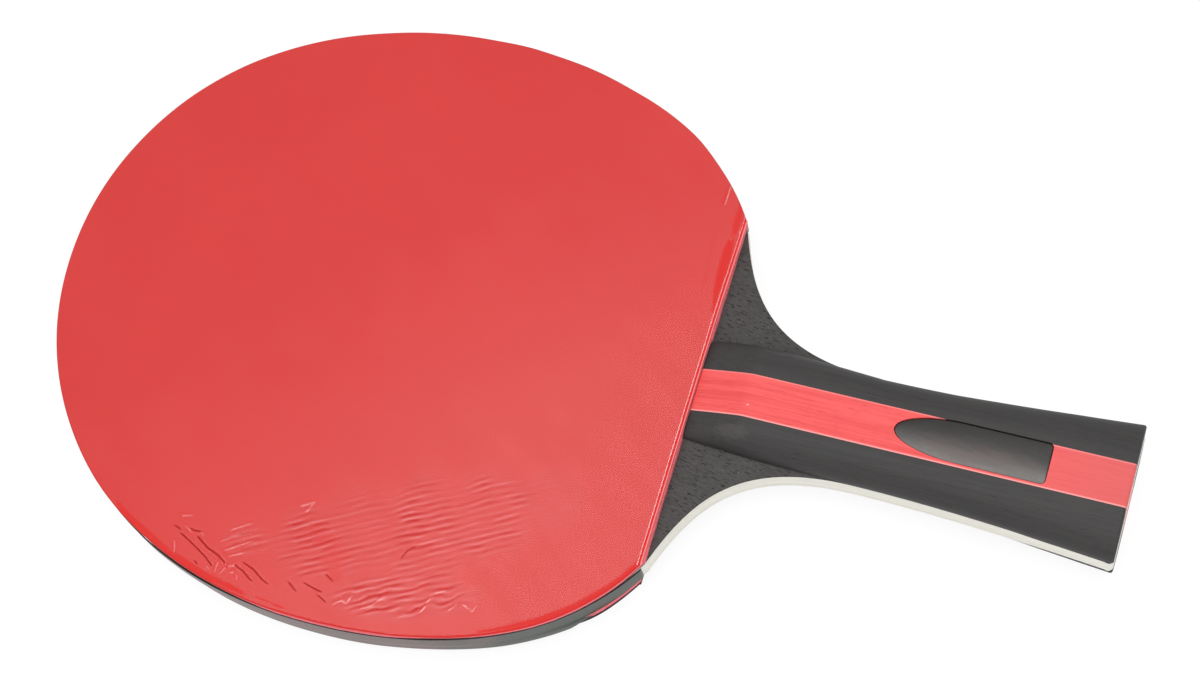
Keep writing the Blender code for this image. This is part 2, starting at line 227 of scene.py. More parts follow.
def bezier(corners: Sequence[Vector], steps: int) -> list[Vector]:
    """Walks along a cubic curve.

    Args:
        corners: The curve's start, its two handles and its end.
        steps: How many points there are.

    Returns:
        Points after the start, up to and including the end.
    """
    points = []
    for t in steps_to(1.0, steps)[1:]:
        weights = ((1 - t) ** 3, 3 * t * (1 - t) ** 2, 3 * t**2 * (1 - t), t**3)
        points.append(sum((w * corner for w, corner in zip(weights, corners)), Vector((0, 0))))
    return points


class Path:
    """An open run of points that can be read at any share of its length."""

    def __init__(self, points: Sequence[Vector]) -> None:
        """Measures the run.

        Args:
            points: The run's points, in order.
        """
        self.points = list(points)
        self.walked = [0.0]
        for before, after in zip(self.points, self.points[1:]):
            self.walked.append(self.walked[-1] + (after - before).length)

    @property
    def length(self) -> float:
        """The run's whole length."""
        return self.walked[-1]

    def at(self, share: float) -> Vector:
        """Reads the run off at a share of its length.

        Args:
            share: The share, held between 0 and 1.

        Returns:
            The point there.
        """
        goal = min(max(share, 0.0), 1.0) * self.length
        i = min(max(bisect_left(self.walked, goal), 1), len(self.points) - 1)
        gap = self.walked[i] - self.walked[i - 1]
        return self.points[i - 1].lerp(self.points[i], (goal - self.walked[i - 1]) / gap)

    def even(self, step: float) -> list[Vector]:
        """Evenly spaced points about a step apart, both ends included."""
        count = max(round(self.length / step), 2)
        return [self.at(share) for share in steps_to(1.0, count)]


@dataclass(frozen=True)
class BladeShape:
    """The outline that the plies, rubbers, tape and handle share."""

    edge_x: float
    head_length: float = 157.8
    head_width: float = 149.7
    widest_from_tip: float = 83.8
    shoulder_width: float = 84.8
    tip_fullness: float = 2.03
    shoulder_fullness: float = 2.37
    handle_length: float = 100.0
    waist_behind: float = 40.0
    waist_width: float = 26.1
    butt_width: float = 32.8
    butt_corner_radius: float = 1.2
    wing_lean: float = math.radians(70.5)
    wing_pull: float = 16.2
    waist_pull_forward: float = 28.0
    waist_pull_back: float = 19.7
    flare_pull: float = 19.8
    flare_lean: float = math.radians(5.1)
    head_steps: int = 160
    handle_steps: int = 60
    corner_steps: int = 8

    @classmethod
    def from_frame(cls) -> "BladeShape":
        """The outline in its place: the sponge ends at the rubbers' straight edge."""
        return cls(edge_x=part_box("front_sponge")[1].x / MM)

    @property
    def widest_x(self) -> float:
        """Where the head is widest."""
        return self.edge_x - self.head_length + self.widest_from_tip

    @property
    def butt_x(self) -> float:
        """The handle's end."""
        return self.edge_x + self.handle_length

    @property
    def shoulder_reach(self) -> float:
        """How far behind its widest line the head's curve would close."""
        left = 1 - (self.shoulder_width / self.head_width) ** self.shoulder_fullness
        return (self.edge_x - self.widest_x) / left ** (1 / self.shoulder_fullness)

    def head_half(self) -> list[Vector]:
        """The head's right half.

        Returns:
            Points from the tip to the shoulder at the straight edge.
        """
        half = self.head_width / 2
        power = 2 / self.tip_fullness
        points = []
        for angle in steps_to(QUARTER_TURN, self.head_steps):
            along = self.widest_from_tip * abs(math.cos(angle)) ** power
            points.append(Vector((self.widest_x - along, half * math.sin(angle) ** power)))
        power = 2 / self.shoulder_fullness
        reach = self.shoulder_reach
        last = math.asin(((self.edge_x - self.widest_x) / reach) ** (self.shoulder_fullness / 2))
        for angle in steps_to(last, self.head_steps)[1:]:
            along = reach * math.sin(angle) ** power
            points.append(Vector((self.widest_x + along, half * math.cos(angle) ** power)))
        return points

    def handle_half(self) -> list[Vector]:
        """The right edge of the wing and the handle.

        Returns:
            Points behind the shoulder, up to and including the butt's corner.
        """
        shoulder = Vector((self.edge_x, self.shoulder_width / 2))
        waist = Vector((self.edge_x + self.waist_behind, self.waist_width / 2))
        butt = Vector((self.butt_x, self.butt_width / 2))
        lean = Vector((math.cos(self.wing_lean), -math.sin(self.wing_lean)))
        flare = Vector((math.cos(self.flare_lean), math.sin(self.flare_lean)))
        forward = waist - Vector((self.waist_pull_forward, 0))
        back = waist + Vector((self.waist_pull_back, 0))
        wing = bezier((shoulder, shoulder + self.wing_pull * lean, forward, waist), self.handle_steps)
        grip = bezier((waist, back, butt - self.flare_pull * flare, butt), self.handle_steps)
        return wing + grip

    def outline(self) -> list[Vector]:
        """The plies' outline.

        Returns:
            Points of the closed outline, with the butt's corners rounded.
        """
        half = self.head_half() + self.handle_half()
        butt = half.pop()
        half = [point for point in half if point.x < butt.x - self.butt_corner_radius]
        half += round_corner(butt, self.butt_corner_radius, self.corner_steps)
        return half + mirrored(half)

    def half_width(self, x: float) -> float:
        """Measures the handle or the wings.

        Args:
            x: A place anywhere behind the straight edge.

        Returns:
            Half the blade's width there.
        """
        edge = [Vector((self.edge_x, self.shoulder_width / 2))] + self.handle_half()
        for before, after in zip(edge, edge[1:]):
            if x <= after.x:
                return before.lerp(after, (x - before.x) / (after.x - before.x)).y
        return edge[-1].y

    def head_half_width(self, x: float) -> float:
        """Measures the head.

        Args:
            x: A place along the racket, up to the straight edge.

        Returns:
            Half the head's width there, or 0 past the tip.
        """
        if x > self.widest_x:
            power = self.shoulder_fullness
            share = (x - self.widest_x) / self.shoulder_reach
        else:
            power = self.tip_fullness
            share = (self.widest_x - x) / self.widest_from_tip
        return self.head_width / 2 * max(0.0, 1 - share**power) ** (1 / power)

    def head_run(self, margin: Callable[[float], float], end_x: float) -> Path:
        """The head's edge from the left shoulder round the tip to the right one.

        Args:
            margin: How far the run stands out from the edge, or in if negative, at a share of it.
            end_x: Where both ends are cut off.

        Returns:
            The run as a path.
        """
        half = self.head_half()
        edge = Path(mirrored(half) + half)
        last = len(edge.points) - 1
        moved = []
        for i, point in enumerate(edge.points):
            ahead = edge.points[min(i + 1, last)] - edge.points[max(i - 1, 0)]
            normal = Vector((-ahead.y, ahead.x)).normalized()
            moved.append(point + margin(edge.walked[i] / edge.length) * normal)
        inside = [i for i, point in enumerate(moved) if point.x < end_x]
        first, final = inside[0], inside[-1]
        start = self.cut(moved[first], moved[max(first - 1, 0)], end_x)
        finish = self.cut(moved[final], moved[min(final + 1, last)], end_x)
        return Path([start] + moved[first : final + 1] + [finish])

    @staticmethod
    def cut(inside: Vector, outside: Vector, x: float) -> Vector:
        """Cuts a step of a run off at a line across the racket.

        Args:
            inside: The step's end on the head's side of the line.
            outside: Its other end.
            x: Where the line is.

        Returns:
            The point where the step crosses the line.
        """
        if outside.x <= inside.x:
            return Vector((x, inside.y))
        return inside.lerp(outside, (x - inside.x) / (outside.x - inside.x))


class Shape:
    """A mesh in the making, in millimetres, shaped by modelling operators."""

    def __init__(self) -> None:
        """Starts an empty mesh."""
        self.mesh = bmesh.new()

    def plate(self, outline: Sequence[Vector], low: float, high: float) -> None:
        """Extrudes a filled outline into a closed plate.

        Args:
            outline: The closed outline's points.
            low: The height of the plate's lower face.
            high: The height of its upper face.
        """
        ring = bmesh.ops.create_circle(self.mesh, cap_ends=True, radius=1.0, segments=len(outline))
        for vert, place in zip(ring["verts"], outline):
            vert.co = (place.x, place.y, low)
        grown = bmesh.ops.extrude_face_region(self.mesh, geom=self.mesh.faces[:])["geom"]
        top = [part for part in grown if isinstance(part, bmesh.types.BMVert)]
        bmesh.ops.translate(self.mesh, verts=top, vec=(0, 0, high - low))
        bmesh.ops.recalc_face_normals(self.mesh, faces=self.mesh.faces)

    def tube(self, rings: Sequence[Sequence[Vector]], shades: Sequence[float] = ()) -> None:
        """Skins a closed solid over sections.

        Args:
            rings: The sections, each of equally many points.
            shades: How dark the surface is at each step around a section, or nothing.
        """
        around, last = len(rings[0]), len(rings) - 1
        shade = self.mesh.verts.layers.float.new(SHADE) if shades else None
        grid = bmesh.ops.create_grid(self.mesh, x_segments=around, y_segments=last, size=0.5)
        for vert in grid["verts"]:
            step = round((vert.co.x + 0.5) * around) % around
            vert.co = rings[round((vert.co.y + 0.5) * last)][step]
            if shade is not None:
                vert[shade] = shades[step]
        bmesh.ops.remove_doubles(self.mesh, verts=grid["verts"], dist=MERGE_DISTANCE)
        self.close()

    def close(self) -> None:
        """Fills every open loop and turns the faces outwards."""
        rims = [edge for edge in self.mesh.edges if edge.is_boundary]
        bmesh.ops.edgeloop_fill(self.mesh, edges=rims)
        bmesh.ops.recalc_face_normals(self.mesh, faces=self.mesh.faces)

    def edges_at(self, z: float) -> list[bmesh.types.BMEdge]:
        """The edges that lie at a height, between a plate's face and its wall."""
        near = {vert for vert in self.mesh.verts if abs(vert.co.z - z) < MERGE_DISTANCE}
        return [edge for edge in self.mesh.edges if near.issuperset(edge.verts)]

    def round_off(self, edges: Sequence[bmesh.types.BMEdge], radius: float, segments: int) -> None:
        """Rounds edges.

        Args:
            edges: The edges, of which those that are gone by now are passed over.
            radius: The round's radius.
            segments: How many faces go round it.
        """
        bmesh.ops.bevel(
            self.mesh,
            geom=[edge for edge in edges if edge.is_valid],
            offset=radius,
            offset_type="OFFSET",
            segments=segments,
            profile=0.5,
            affect="EDGES",
            material=-1,
            clamp_overlap=False,
        )

    def mend(self) -> None:
        """Merges points that coincide and takes out faces without an area, where rounded edges meet."""
        bmesh.ops.remove_doubles(self.mesh, verts=self.mesh.verts, dist=MERGE_DISTANCE)
        bmesh.ops.dissolve_degenerate(self.mesh, edges=self.mesh.edges, dist=MERGE_DISTANCE)

    def split_wall(self, cuts: int) -> None:
        """Cuts the upright edges of a plate's wall into equal lengths."""
        upright = [edge for edge in self.mesh.edges if abs((edge.verts[0].co - edge.verts[1].co).z) > 0.1]
        bmesh.ops.subdivide_edges(self.mesh, edges=upright, cuts=cuts, use_grid_fill=True)

    def move(self, shift: Callable[[Vector], Vector]) -> None:
        """Moves every point by what a field says at its place."""
        for vert in self.mesh.verts:
            vert.co += shift(vert.co)

    def into_mesh(self, name: str) -> bpy.types.Mesh:
        """Finishes the shape.

        Args:
            name: The mesh data's name.

        Returns:
            Mesh data in metres, smooth but for its sharp edges.
        """
        bmesh.ops.scale(self.mesh, vec=(MM, MM, MM), verts=self.mesh.verts)
        data = bpy.data.meshes.new(name)
        self.mesh.to_mesh(data)
        self.mesh.free()
        return smoothed(data)


def smoothed(data: bpy.types.Mesh) -> bpy.types.Mesh:
    """Makes a mesh smooth but for its sharp edges.

    Args:
        data: The mesh.

    Returns:
        The same mesh.
    """
    data.shade_smooth()
    data.set_sharp_from_angle(angle=SHARP_ANGLE)
    return data


def put_in_scene(name: str, data: bpy.types.ID) -> bpy.types.Object:
    """Puts data into the scene.

    Args:
        name: The object's name.
        data: Its mesh, light or camera.

    Returns:
        The object.
    """
    placed = bpy.data.objects.new(name, data)
    bpy.context.scene.collection.objects.link(placed)
    return placed


class NodeSheet:
    """A node tree with short names for the nodes that the finishes use."""

    def __init__(self, owner: Union[bpy.types.Material, bpy.types.World]) -> None:
        """Empties the tree.

        Args:
            owner: The material or world that it dresses.
        """
        owner.use_nodes = True
        self.tree = owner.node_tree
        self.tree.nodes.clear()

    def add(self, kind: str, inputs: Inputs, **settings: object) -> bpy.types.Node:
        """Adds a node.

        Args:
            kind: The node's type.
            inputs: A value or another node's output for each input that is set.
            **settings: The node's own properties.

        Returns:
            The new node.
        """
        node = self.tree.nodes.new(kind)
        for name, setting in settings.items():
            setattr(node, name, setting)
        for key, value in inputs.items():
            socket = node.inputs[key]
            if isinstance(value, bpy.types.NodeSocket):
                self.tree.links.new(value, socket)
            else:
                socket.default_value = (*value, 1.0) if socket.type == "RGBA" else value
        return node

    def place(self, size: Triple, turn: float = 0.0, centre: Pair = (0.0, 0.0)) -> Socket:
        """Object coordinates in steps of a size.

        Args:
            size: The step along each axis, in millimetres; an infinite one leaves the axis out.
            turn: How far they are turned about Z.
            centre: The X and Y that they are then counted from, in millimetres.

        Returns:
            The coordinates.
        """
        where = self.add("ShaderNodeTexCoord", {}).outputs["Object"]
        moves = {"Vector": where, "Location": (-centre[0] * MM, -centre[1] * MM, 0), "Rotation": (0, 0, turn)}
        moved = self.add("ShaderNodeMapping", moves).outputs[0]
        scale = tuple(1 / (MM * length) for length in size)
        return self.add("ShaderNodeMapping", {"Vector": moved, "Scale": scale}).outputs[0]

    def axis(self, name: str) -> Socket:
        """One of the object's own coordinates, in millimetres."""
        return self.add("ShaderNodeSeparateXYZ", {0: self.place((1, 1, 1))}).outputs[name]

    def away(self, axis: str, place: float) -> Socket:
        """How far the surface is from a place on an axis, in millimetres."""
        return self.calc("ABSOLUTE", self.calc("SUBTRACT", self.axis(axis), place))

    def kept(self, name: str) -> Socket:
        """A value that is kept with the mesh's points."""
        return self.add("ShaderNodeAttribute", {}, attribute_name=name).outputs["Fac"]

    def grain(
        self, size: Triple, turn: float = 0.0, detail: float = 3.0, rough: float = 0.5, bend: float = 0.0
    ) -> Socket:
        """Noise, about 0.5 on average.

        Args:
            size: The size of its blotches along each axis, in millimetres.
            turn: How far it is turned about Z.
            detail: How many finer layers it has.
            rough: How strong these are.
            bend: How far it is distorted.

        Returns:
            The noise.
        """
        inputs = {"Vector": self.place(size, turn), "Scale": 1.0, "Detail": detail, "Roughness": rough}
        return self.add("ShaderNodeTexNoise", inputs | {"Distortion": bend}).outputs["Fac"]

    def cells(self, size: float) -> Socket:
        """The distance to the nearest of scattered points, which are about a size apart."""
        inputs = {"Vector": self.place((size,) * 3), "Scale": 1.0, "Randomness": 1.0}
        return self.add("ShaderNodeTexVoronoi", inputs).outputs["Distance"]

    def band(self, value: Value, start: Value, end: Value, low: float = 0.0, high: float = 1.0) -> Socket:
        """Maps a value's range smoothly onto another, and holds it there."""
        inputs = {"Value": value, "From Min": start, "From Max": end, "To Min": low, "To Max": high}
        return self.add("ShaderNodeMapRange", inputs, interpolation_type="SMOOTHSTEP").outputs[0]

    def spot(self, centre: Pair, size: Pair, ragged: float) -> Socket:
        """A soft spot on the surface, as seen from above.

        Args:
            centre: Its X and Y, in millimetres.
            size: Its half length and half width.
            ragged: How far noise eats into its edge.

        Returns:
            1 in the middle and 0 outside.
        """
        flat = self.place((*size, math.inf), centre=centre)
        away = self.add("ShaderNodeVectorMath", {0: flat}, operation="LENGTH").outputs["Value"]
        eaten = self.band(self.grain((1.6, 0.5, 0.5)), 0.3, 0.7, -ragged, ragged)
        return self.band(self.calc("ADD", away, eaten), 0.4, 1.0, 1.0, 0.0)

    def calc(self, operation: str, first: Value, second: Value = 0.0) -> Socket:
        """What an operation makes of a value, or of two."""
        return self.add("ShaderNodeMath", {0: first, 1: second}, operation=operation).outputs[0]

    def tint(self, share: Value, first: Value, second: Value) -> Socket:
        """A colour, blended into another by a share."""
        inputs = {"Factor": share, MIX_FIRST: first, MIX_SECOND: second}
        return self.add("ShaderNodeMix", inputs, data_type="RGBA").outputs[MIX_RESULT]

    def relief(self, height: Socket, depth: float, below: Socket | None = None) -> Socket:
        """Turns a height into a bump.

        Args:
            height: The height, from 0 to 1.
            depth: What 1 stands for, in millimetres.
            below: The direction of a bump that this one lies on, if there is one.

        Returns:
            The surface's direction.
        """
        inputs = {"Height": height, "Distance": depth * MM, "Strength": 1.0}
        if below is not None:
            inputs["Normal"] = below
        return self.add("ShaderNodeBump", inputs).outputs[0]

    def unevenness(self, size: float, depth: float) -> Socket:
        """A soft bump without a direction, of a size and a depth in millimetres."""
        return self.relief(self.grain((size,) * 3, detail=2.0), depth)

    def skin(
        self, colour: Value, roughness: Value, relief: Socket, shine: float = 0.5, **others: Value
    ) -> None:
        """Finishes a material with a Principled shader.

        Args:
            colour: Its base colour.
            roughness: Its roughness.
            relief: The direction of its bumps.
            shine: Its specular level.
            **others: Its further inputs, by their names.
        """
        inputs = {"Base Color": colour, "Roughness": roughness, "Normal": relief, "Specular IOR Level": shine}
        self.done(self.add("ShaderNodeBsdfPrincipled", inputs | others).outputs[0])

    def done(self, shader: Socket, output: str = "ShaderNodeOutputMaterial") -> None:
        """Connects the finished shader to the tree's output."""
        self.add(output, {"Surface": shader})


@dataclass(frozen=True)
class Finish(ABC):
    """A surface finish that several pieces may wear."""

    name: str

    def material(self) -> bpy.types.Material:
        """The finish's material, made once.

        Returns:
            The material.
        """
        made = bpy.data.materials.get(self.name)
        if made is None:
            made = bpy.data.materials.new(self.name)
            self.paint(NodeSheet(made))
        return made

    @abstractmethod
    def paint(self, sheet: NodeSheet) -> None:
        """Wires the finish's nodes."""


@dataclass(frozen=True)
class RubberFinish(Finish):
    """Smooth moulded rubber with its cut wall and a painted highlight line at the straight edge."""

    name: str = "red_topsheet"
    face_z: float = 0.0
    colour: Colour = (0.672, 0.036, 0.032)
    worn: Colour = (0.657, 0.032, 0.029)
    wall: Colour = (0.93, 0.19, 0.20)
    cut_highlight: Colour = (0.93, 0.28, 0.28)
    line_x: Pair = (28.82, 28.88)
    far_reach: float = 0.31
    far_y: Pair = (12.0, 42.4)
    wall_depth: Pair = (0.42, 0.52)
    roughness: float = 0.45
    shine: float = 0.05
    patch: float = 30.0

    def paint(self, sheet: NodeSheet) -> None:
        """Wires faint patches of tone, the painted highlight line and the cut wall's paler colour, partly
        painted light.

        Args:
            sheet: Where the nodes are wired.
        """
        patches = sheet.band(sheet.grain((self.patch,) * 3), 0.35, 0.65)
        smooth = sheet.tint(patches, self.colour, self.worn)
        shifted = sheet.band(sheet.axis("Y"), *self.far_y, 0.0, self.far_reach)
        from_end = sheet.calc("SUBTRACT", sheet.axis("X"), shifted)
        # painted highlight: a light line along the straight cut, standing for its corner catching the light
        lined = sheet.tint(sheet.band(from_end, *self.line_x), smooth, self.cut_highlight)
        # the cut wall: paler cut rubber, brightened further as painted light where it faces sideways
        colour = sheet.tint(sheet.band(sheet.away("Z", self.face_z), *self.wall_depth), lined, self.wall)
        sheet.skin(colour, self.roughness, sheet.unevenness(4.0, 0.002), self.shine)


@dataclass(frozen=True)
class FilmFinish(Finish):
    """Thin clear film that veils the rubber with what it mirrors, but not where it clings."""

    name: str = "clear_film_skin"
    colour: Colour = (0.55, 0.53, 0.53)
    painted_highlight: Colour = (0.95, 0.93, 0.93)
    shaded: Colour = (0.10, 0.0, 0.005)
    cover: float = 0.060
    shade_cover: float = 0.35
    mirror: float = 0.85
    roughness: float = 0.21

    def paint(self, sheet: NodeSheet) -> None:
        """Wires a faint mirror, as dense as the film's veil says, pale as a painted highlight where thick,
        with painted shade in its folds.

        Args:
            sheet: Where the nodes are wired.
        """
        smears = sheet.grain((18, 6, 6), 0.6, detail=4.0)
        roughness = sheet.band(smears, 0.3, 0.7, self.roughness - 0.02, self.roughness + 0.04)
        veil = sheet.kept(VEIL)
        shade = sheet.kept(SHADE)
        streaks = sheet.band(sheet.grain((0.6, 2.4, 1), 0.3), 0.3, 0.7, 0.96, 1.04)
        covered = sheet.calc("MULTIPLY", sheet.calc("MULTIPLY", veil, streaks), self.cover)
        alpha = sheet.calc("ADD", covered, sheet.calc("MULTIPLY", shade, self.shade_cover))
        # painted highlight: the mirror's colour turns pale where the veil is thick
        lit = sheet.tint(sheet.band(veil, 1.2, 2.8), self.colour, self.painted_highlight)
        # painted shade: a dark layer along creases and ripple troughs
        colour = sheet.tint(sheet.band(shade, 0.0, 0.3), lit, self.shaded)
        sheet.skin(colour, roughness, sheet.unevenness(9.0, 0.003), Metallic=self.mirror, Alpha=alpha)


@dataclass(frozen=True)
class SpongeFinish(Finish):
    """Fine open-cell sponge, darker in its pores."""

    name: str = "cut_sponge"
    colour: Colour = (0.96, 0.21, 0.245)
    pore: Colour = (0.70, 0.10, 0.14)
    cell: float = 0.22

    def paint(self, sheet: NodeSheet) -> None:
        """Wires scattered pores.

        Args:
            sheet: Where the nodes are wired.
        """
        pores = sheet.band(sheet.cells(self.cell), 0.15, 0.45)
        blotch = sheet.band(sheet.grain((2, 2, 2)), 0.35, 0.7, 0.0, 0.25)
        colour = sheet.tint(blotch, sheet.tint(pores, self.pore, self.colour), self.pore)
        sheet.skin(colour, 0.9, sheet.relief(pores, 0.06))


@dataclass(frozen=True)
class TapeFinish(Finish):
    """Black vinyl tape with a fine grain, warmer and browner towards the tip's near side as a painted
    reflection.
    """

    name: str = "vinyl_tape"
    colour: Colour = (0.046, 0.055, 0.042)
    warm_reflection: Colour = (0.148, 0.088, 0.082)
    top_edge_shade: Colour = (0.010, 0.005, 0.005)
    warm_reflection_x: Pair = (8.0, -22.0)
    warm_reflection_y: Pair = (5.0, -30.0)
    warm_reflection_spread: float = 14.0
    cell: float = 0.35
    roughness: float = 0.36
    shine: float = 0.32

    def paint(self, sheet: NodeSheet) -> None:
        """Wires painted warm reflection, a leathery grain, faint pulls along the tape and painted shade at
        its top.

        Args:
            sheet: Where the nodes are wired.
        """
        spread = sheet.band(sheet.grain((16, 16, 16)), 0.2, 0.8, -self.warm_reflection_spread, self.warm_reflection_spread)
        along = sheet.band(sheet.calc("ADD", sheet.axis("X"), spread), *self.warm_reflection_x)
        stretches = sheet.calc("MULTIPLY", along, sheet.band(sheet.axis("Y"), *self.warm_reflection_y))
        # painted reflection: a warm brown tint towards the tip's near side
        colour = sheet.tint(stretches, self.colour, self.warm_reflection)
        grain = sheet.cells(self.cell)
        pulls = sheet.grain((9, 9, 0.8), detail=2.0)
        relief = sheet.relief(pulls, 0.02, sheet.relief(grain, 0.006))
        roughness = sheet.band(grain, 0.0, 0.8, self.roughness - 0.04, self.roughness + 0.06)
        # painted shade: near black along the tape's top edge, in the gap under the rubber
        sheet.skin(sheet.tint(sheet.kept(SHADE), colour, self.top_edge_shade), roughness, relief, self.shine)


@dataclass(frozen=True)
class PlyEdgeFinish(Finish):
    """Pale sanded wood, as a ply shows it at its edge."""

    name: str = "pale_ply"
    light: Colour = (0.91, 0.90, 0.83)
    dark: Colour = (0.76, 0.71, 0.61)
    fibre: Triple = (14.0, 0.5, 0.16)

    def colours(self, sheet: NodeSheet) -> tuple[Socket, Socket]:
        """Wires the wood's fibres.

        Args:
            sheet: Where the nodes are wired.

        Returns:
            The wood's colour and the fibre pattern that it comes from.
        """
        fibres = sheet.grain(self.fibre, detail=4.0, rough=0.6, bend=0.3)
        broad = sheet.band(sheet.grain((40, 6, 1.2), detail=2.0), 0.3, 0.75, 0.0, 0.35)
        first = sheet.tint(sheet.band(fibres, 0.5, 0.8, 0.0, 0.6), self.light, self.dark)
        return sheet.tint(broad, first, self.dark), fibres

    def paint(self, sheet: NodeSheet) -> None:
        """Wires fibres along the ply's grain."""
        colour, fibres = self.colours(sheet)
        sheet.skin(colour, 0.75, sheet.relief(fibres, 0.02))


@dataclass(frozen=True)
class VeneerFinish(PlyEdgeFinish):
    """Outer ply: dyed black on its face, and on its edge only towards the butt and round the head."""

    name: str = "dyed_veneer"
    dyed: Colour = (0.046, 0.044, 0.042)
    faded: Colour = (0.078, 0.073, 0.070)
    pore_colour: Colour = (0.014, 0.013, 0.012)
    fleck: Colour = (0.15, 0.125, 0.115)
    face_z: float = 0.0
    dye_depth: float = 0.14
    butt_depth: float = 0.65
    head_depth: float = 1.0
    butt_dye: Pair = (104.0, 115.0)
    head_dye: Pair = (25.0, 29.0)
    dye_blur: float = 0.06

    def paint(self, sheet: NodeSheet) -> None:
        """Wires dyed fibres and short open pores over the pale wood.

        Args:
            sheet: Where the nodes are wired.
        """
        pale, fibres = self.colours(sheet)
        streaks = sheet.grain((1.9, 0.5, 0.5), 0.25, detail=5.0, rough=0.7, bend=0.8)
        cloud = sheet.band(sheet.grain((16, 9, 9)), 0.35, 0.7, 0.0, 0.5)
        pores = sheet.band(sheet.grain((1.5, 0.34, 0.34), 0.2), 0.58, 0.66)
        flecks = sheet.band(sheet.grain((1.0, 0.4, 0.4), 0.45, detail=2.0), 0.67, 0.75)
        streaked = sheet.tint(sheet.band(streaks, 0.4, 0.66, 0.0, 0.75), self.dyed, self.faded)
        clouded = sheet.tint(cloud, streaked, self.faded)
        black = sheet.tint(flecks, sheet.tint(pores, clouded, self.pore_colour), self.fleck)
        wing = sheet.band(sheet.axis("X"), *self.butt_dye, self.dye_depth, self.butt_depth)
        head = sheet.band(sheet.axis("X"), *self.head_dye, self.head_depth, 0.0)
        past = sheet.calc("SUBTRACT", sheet.away("Z", self.face_z), sheet.calc("MAXIMUM", wing, head))
        colour = sheet.tint(sheet.band(past, 0.0, self.dye_blur), black, pale)
        relief = sheet.relief(sheet.calc("SUBTRACT", 1.0, pores), 0.03, sheet.relief(streaks, 0.03))
        sheet.skin(colour, 0.66, relief, 0.3)


@dataclass(frozen=True)
class DyedWoodFinish(Finish):
    """Dyed handle wood with its grain along the handle."""

    name: str = "black_strip"
    colour: Colour = (0.046, 0.044, 0.043)
    streak: Colour = (0.038, 0.036, 0.036)
    pore: Colour = (0.020, 0.019, 0.018)
    worn: Colour = (0.085, 0.080, 0.077)
    worn_spot: Pair = (40.2, -9.0)
    worn_size: Pair = (5.4, 2.1)
    thick: float = 0.7
    roughness: float = 0.55
    shine: float = 0.25

    def wear(self, sheet: NodeSheet, colour: Socket) -> Socket:
        """Wears a spot of the wood paler."""
        worn = sheet.calc("MULTIPLY", sheet.spot(self.worn_spot, self.worn_size, 0.15), 0.5)
        return sheet.tint(worn, colour, self.worn)

    def paint(self, sheet: NodeSheet) -> None:
        """Wires the wood's streaks, fine lines and pores, and what wears it.

        Args:
            sheet: Where the nodes are wired.
        """
        streaks = sheet.grain((26, 0.7, self.thick), detail=5.0, rough=0.62, bend=0.25)
        lines = sheet.grain((12, 0.22, self.thick), rough=0.6)
        pores = sheet.band(sheet.grain((3.2, 0.16, self.thick), detail=2.0), 0.62, 0.72, 0.0, 0.8)
        broad = sheet.tint(sheet.band(streaks, 0.38, 0.68), self.colour, self.streak)
        fine = sheet.tint(sheet.band(lines, 0.52, 0.75, 0.0, 0.6), broad, self.streak)
        colour = self.wear(sheet, sheet.tint(pores, fine, self.pore))
        relief = sheet.relief(lines, 0.015, sheet.relief(streaks, 0.015))
        sheet.skin(colour, self.roughness, relief, self.shine)


@dataclass(frozen=True)
class StripeFinish(DyedWoodFinish):
    """The red centre strip's dye: paler along its two edges and deeper towards the butt."""

    name: str = "red_strip"
    colour: Colour = (0.87, 0.118, 0.114)
    streak: Colour = (0.76, 0.082, 0.082)
    pore: Colour = (0.56, 0.045, 0.045)
    thick: float = 60.0
    butt: Colour = (0.68, 0.118, 0.118)
    butt_from: Pair = (88.0, 129.0)
    pale: Colour = (0.95, 0.36, 0.35)
    pale_width: Pair = (0.168, 0.504)
    pale_edges: tuple[Pair, ...] = ((-5.35, 0.9), (5.05, 0.4))
    chip: Pair = (42.5, -2.4)
    chip_size: Pair = (0.3, 0.22)
    chip_colour: Colour = (0.93, 0.55, 0.48)

    def wear(self, sheet: NodeSheet, colour: Socket) -> Socket:
        """Ages the dye, wears the strip's edges paler and chips it once.

        Args:
            sheet: Where the nodes are wired.
            colour: The wood's own colour.

        Returns:
            The worn wood's colour.
        """
        colour = sheet.tint(sheet.band(sheet.axis("X"), *self.butt_from, 0.0, 0.75), colour, self.butt)
        for edge, share in self.pale_edges:
            line = sheet.band(sheet.away("Y", edge), *self.pale_width, share, 0.0)
            colour = sheet.tint(line, colour, self.pale)
        return sheet.tint(sheet.spot(self.chip, self.chip_size, 0.2), colour, self.chip_colour)


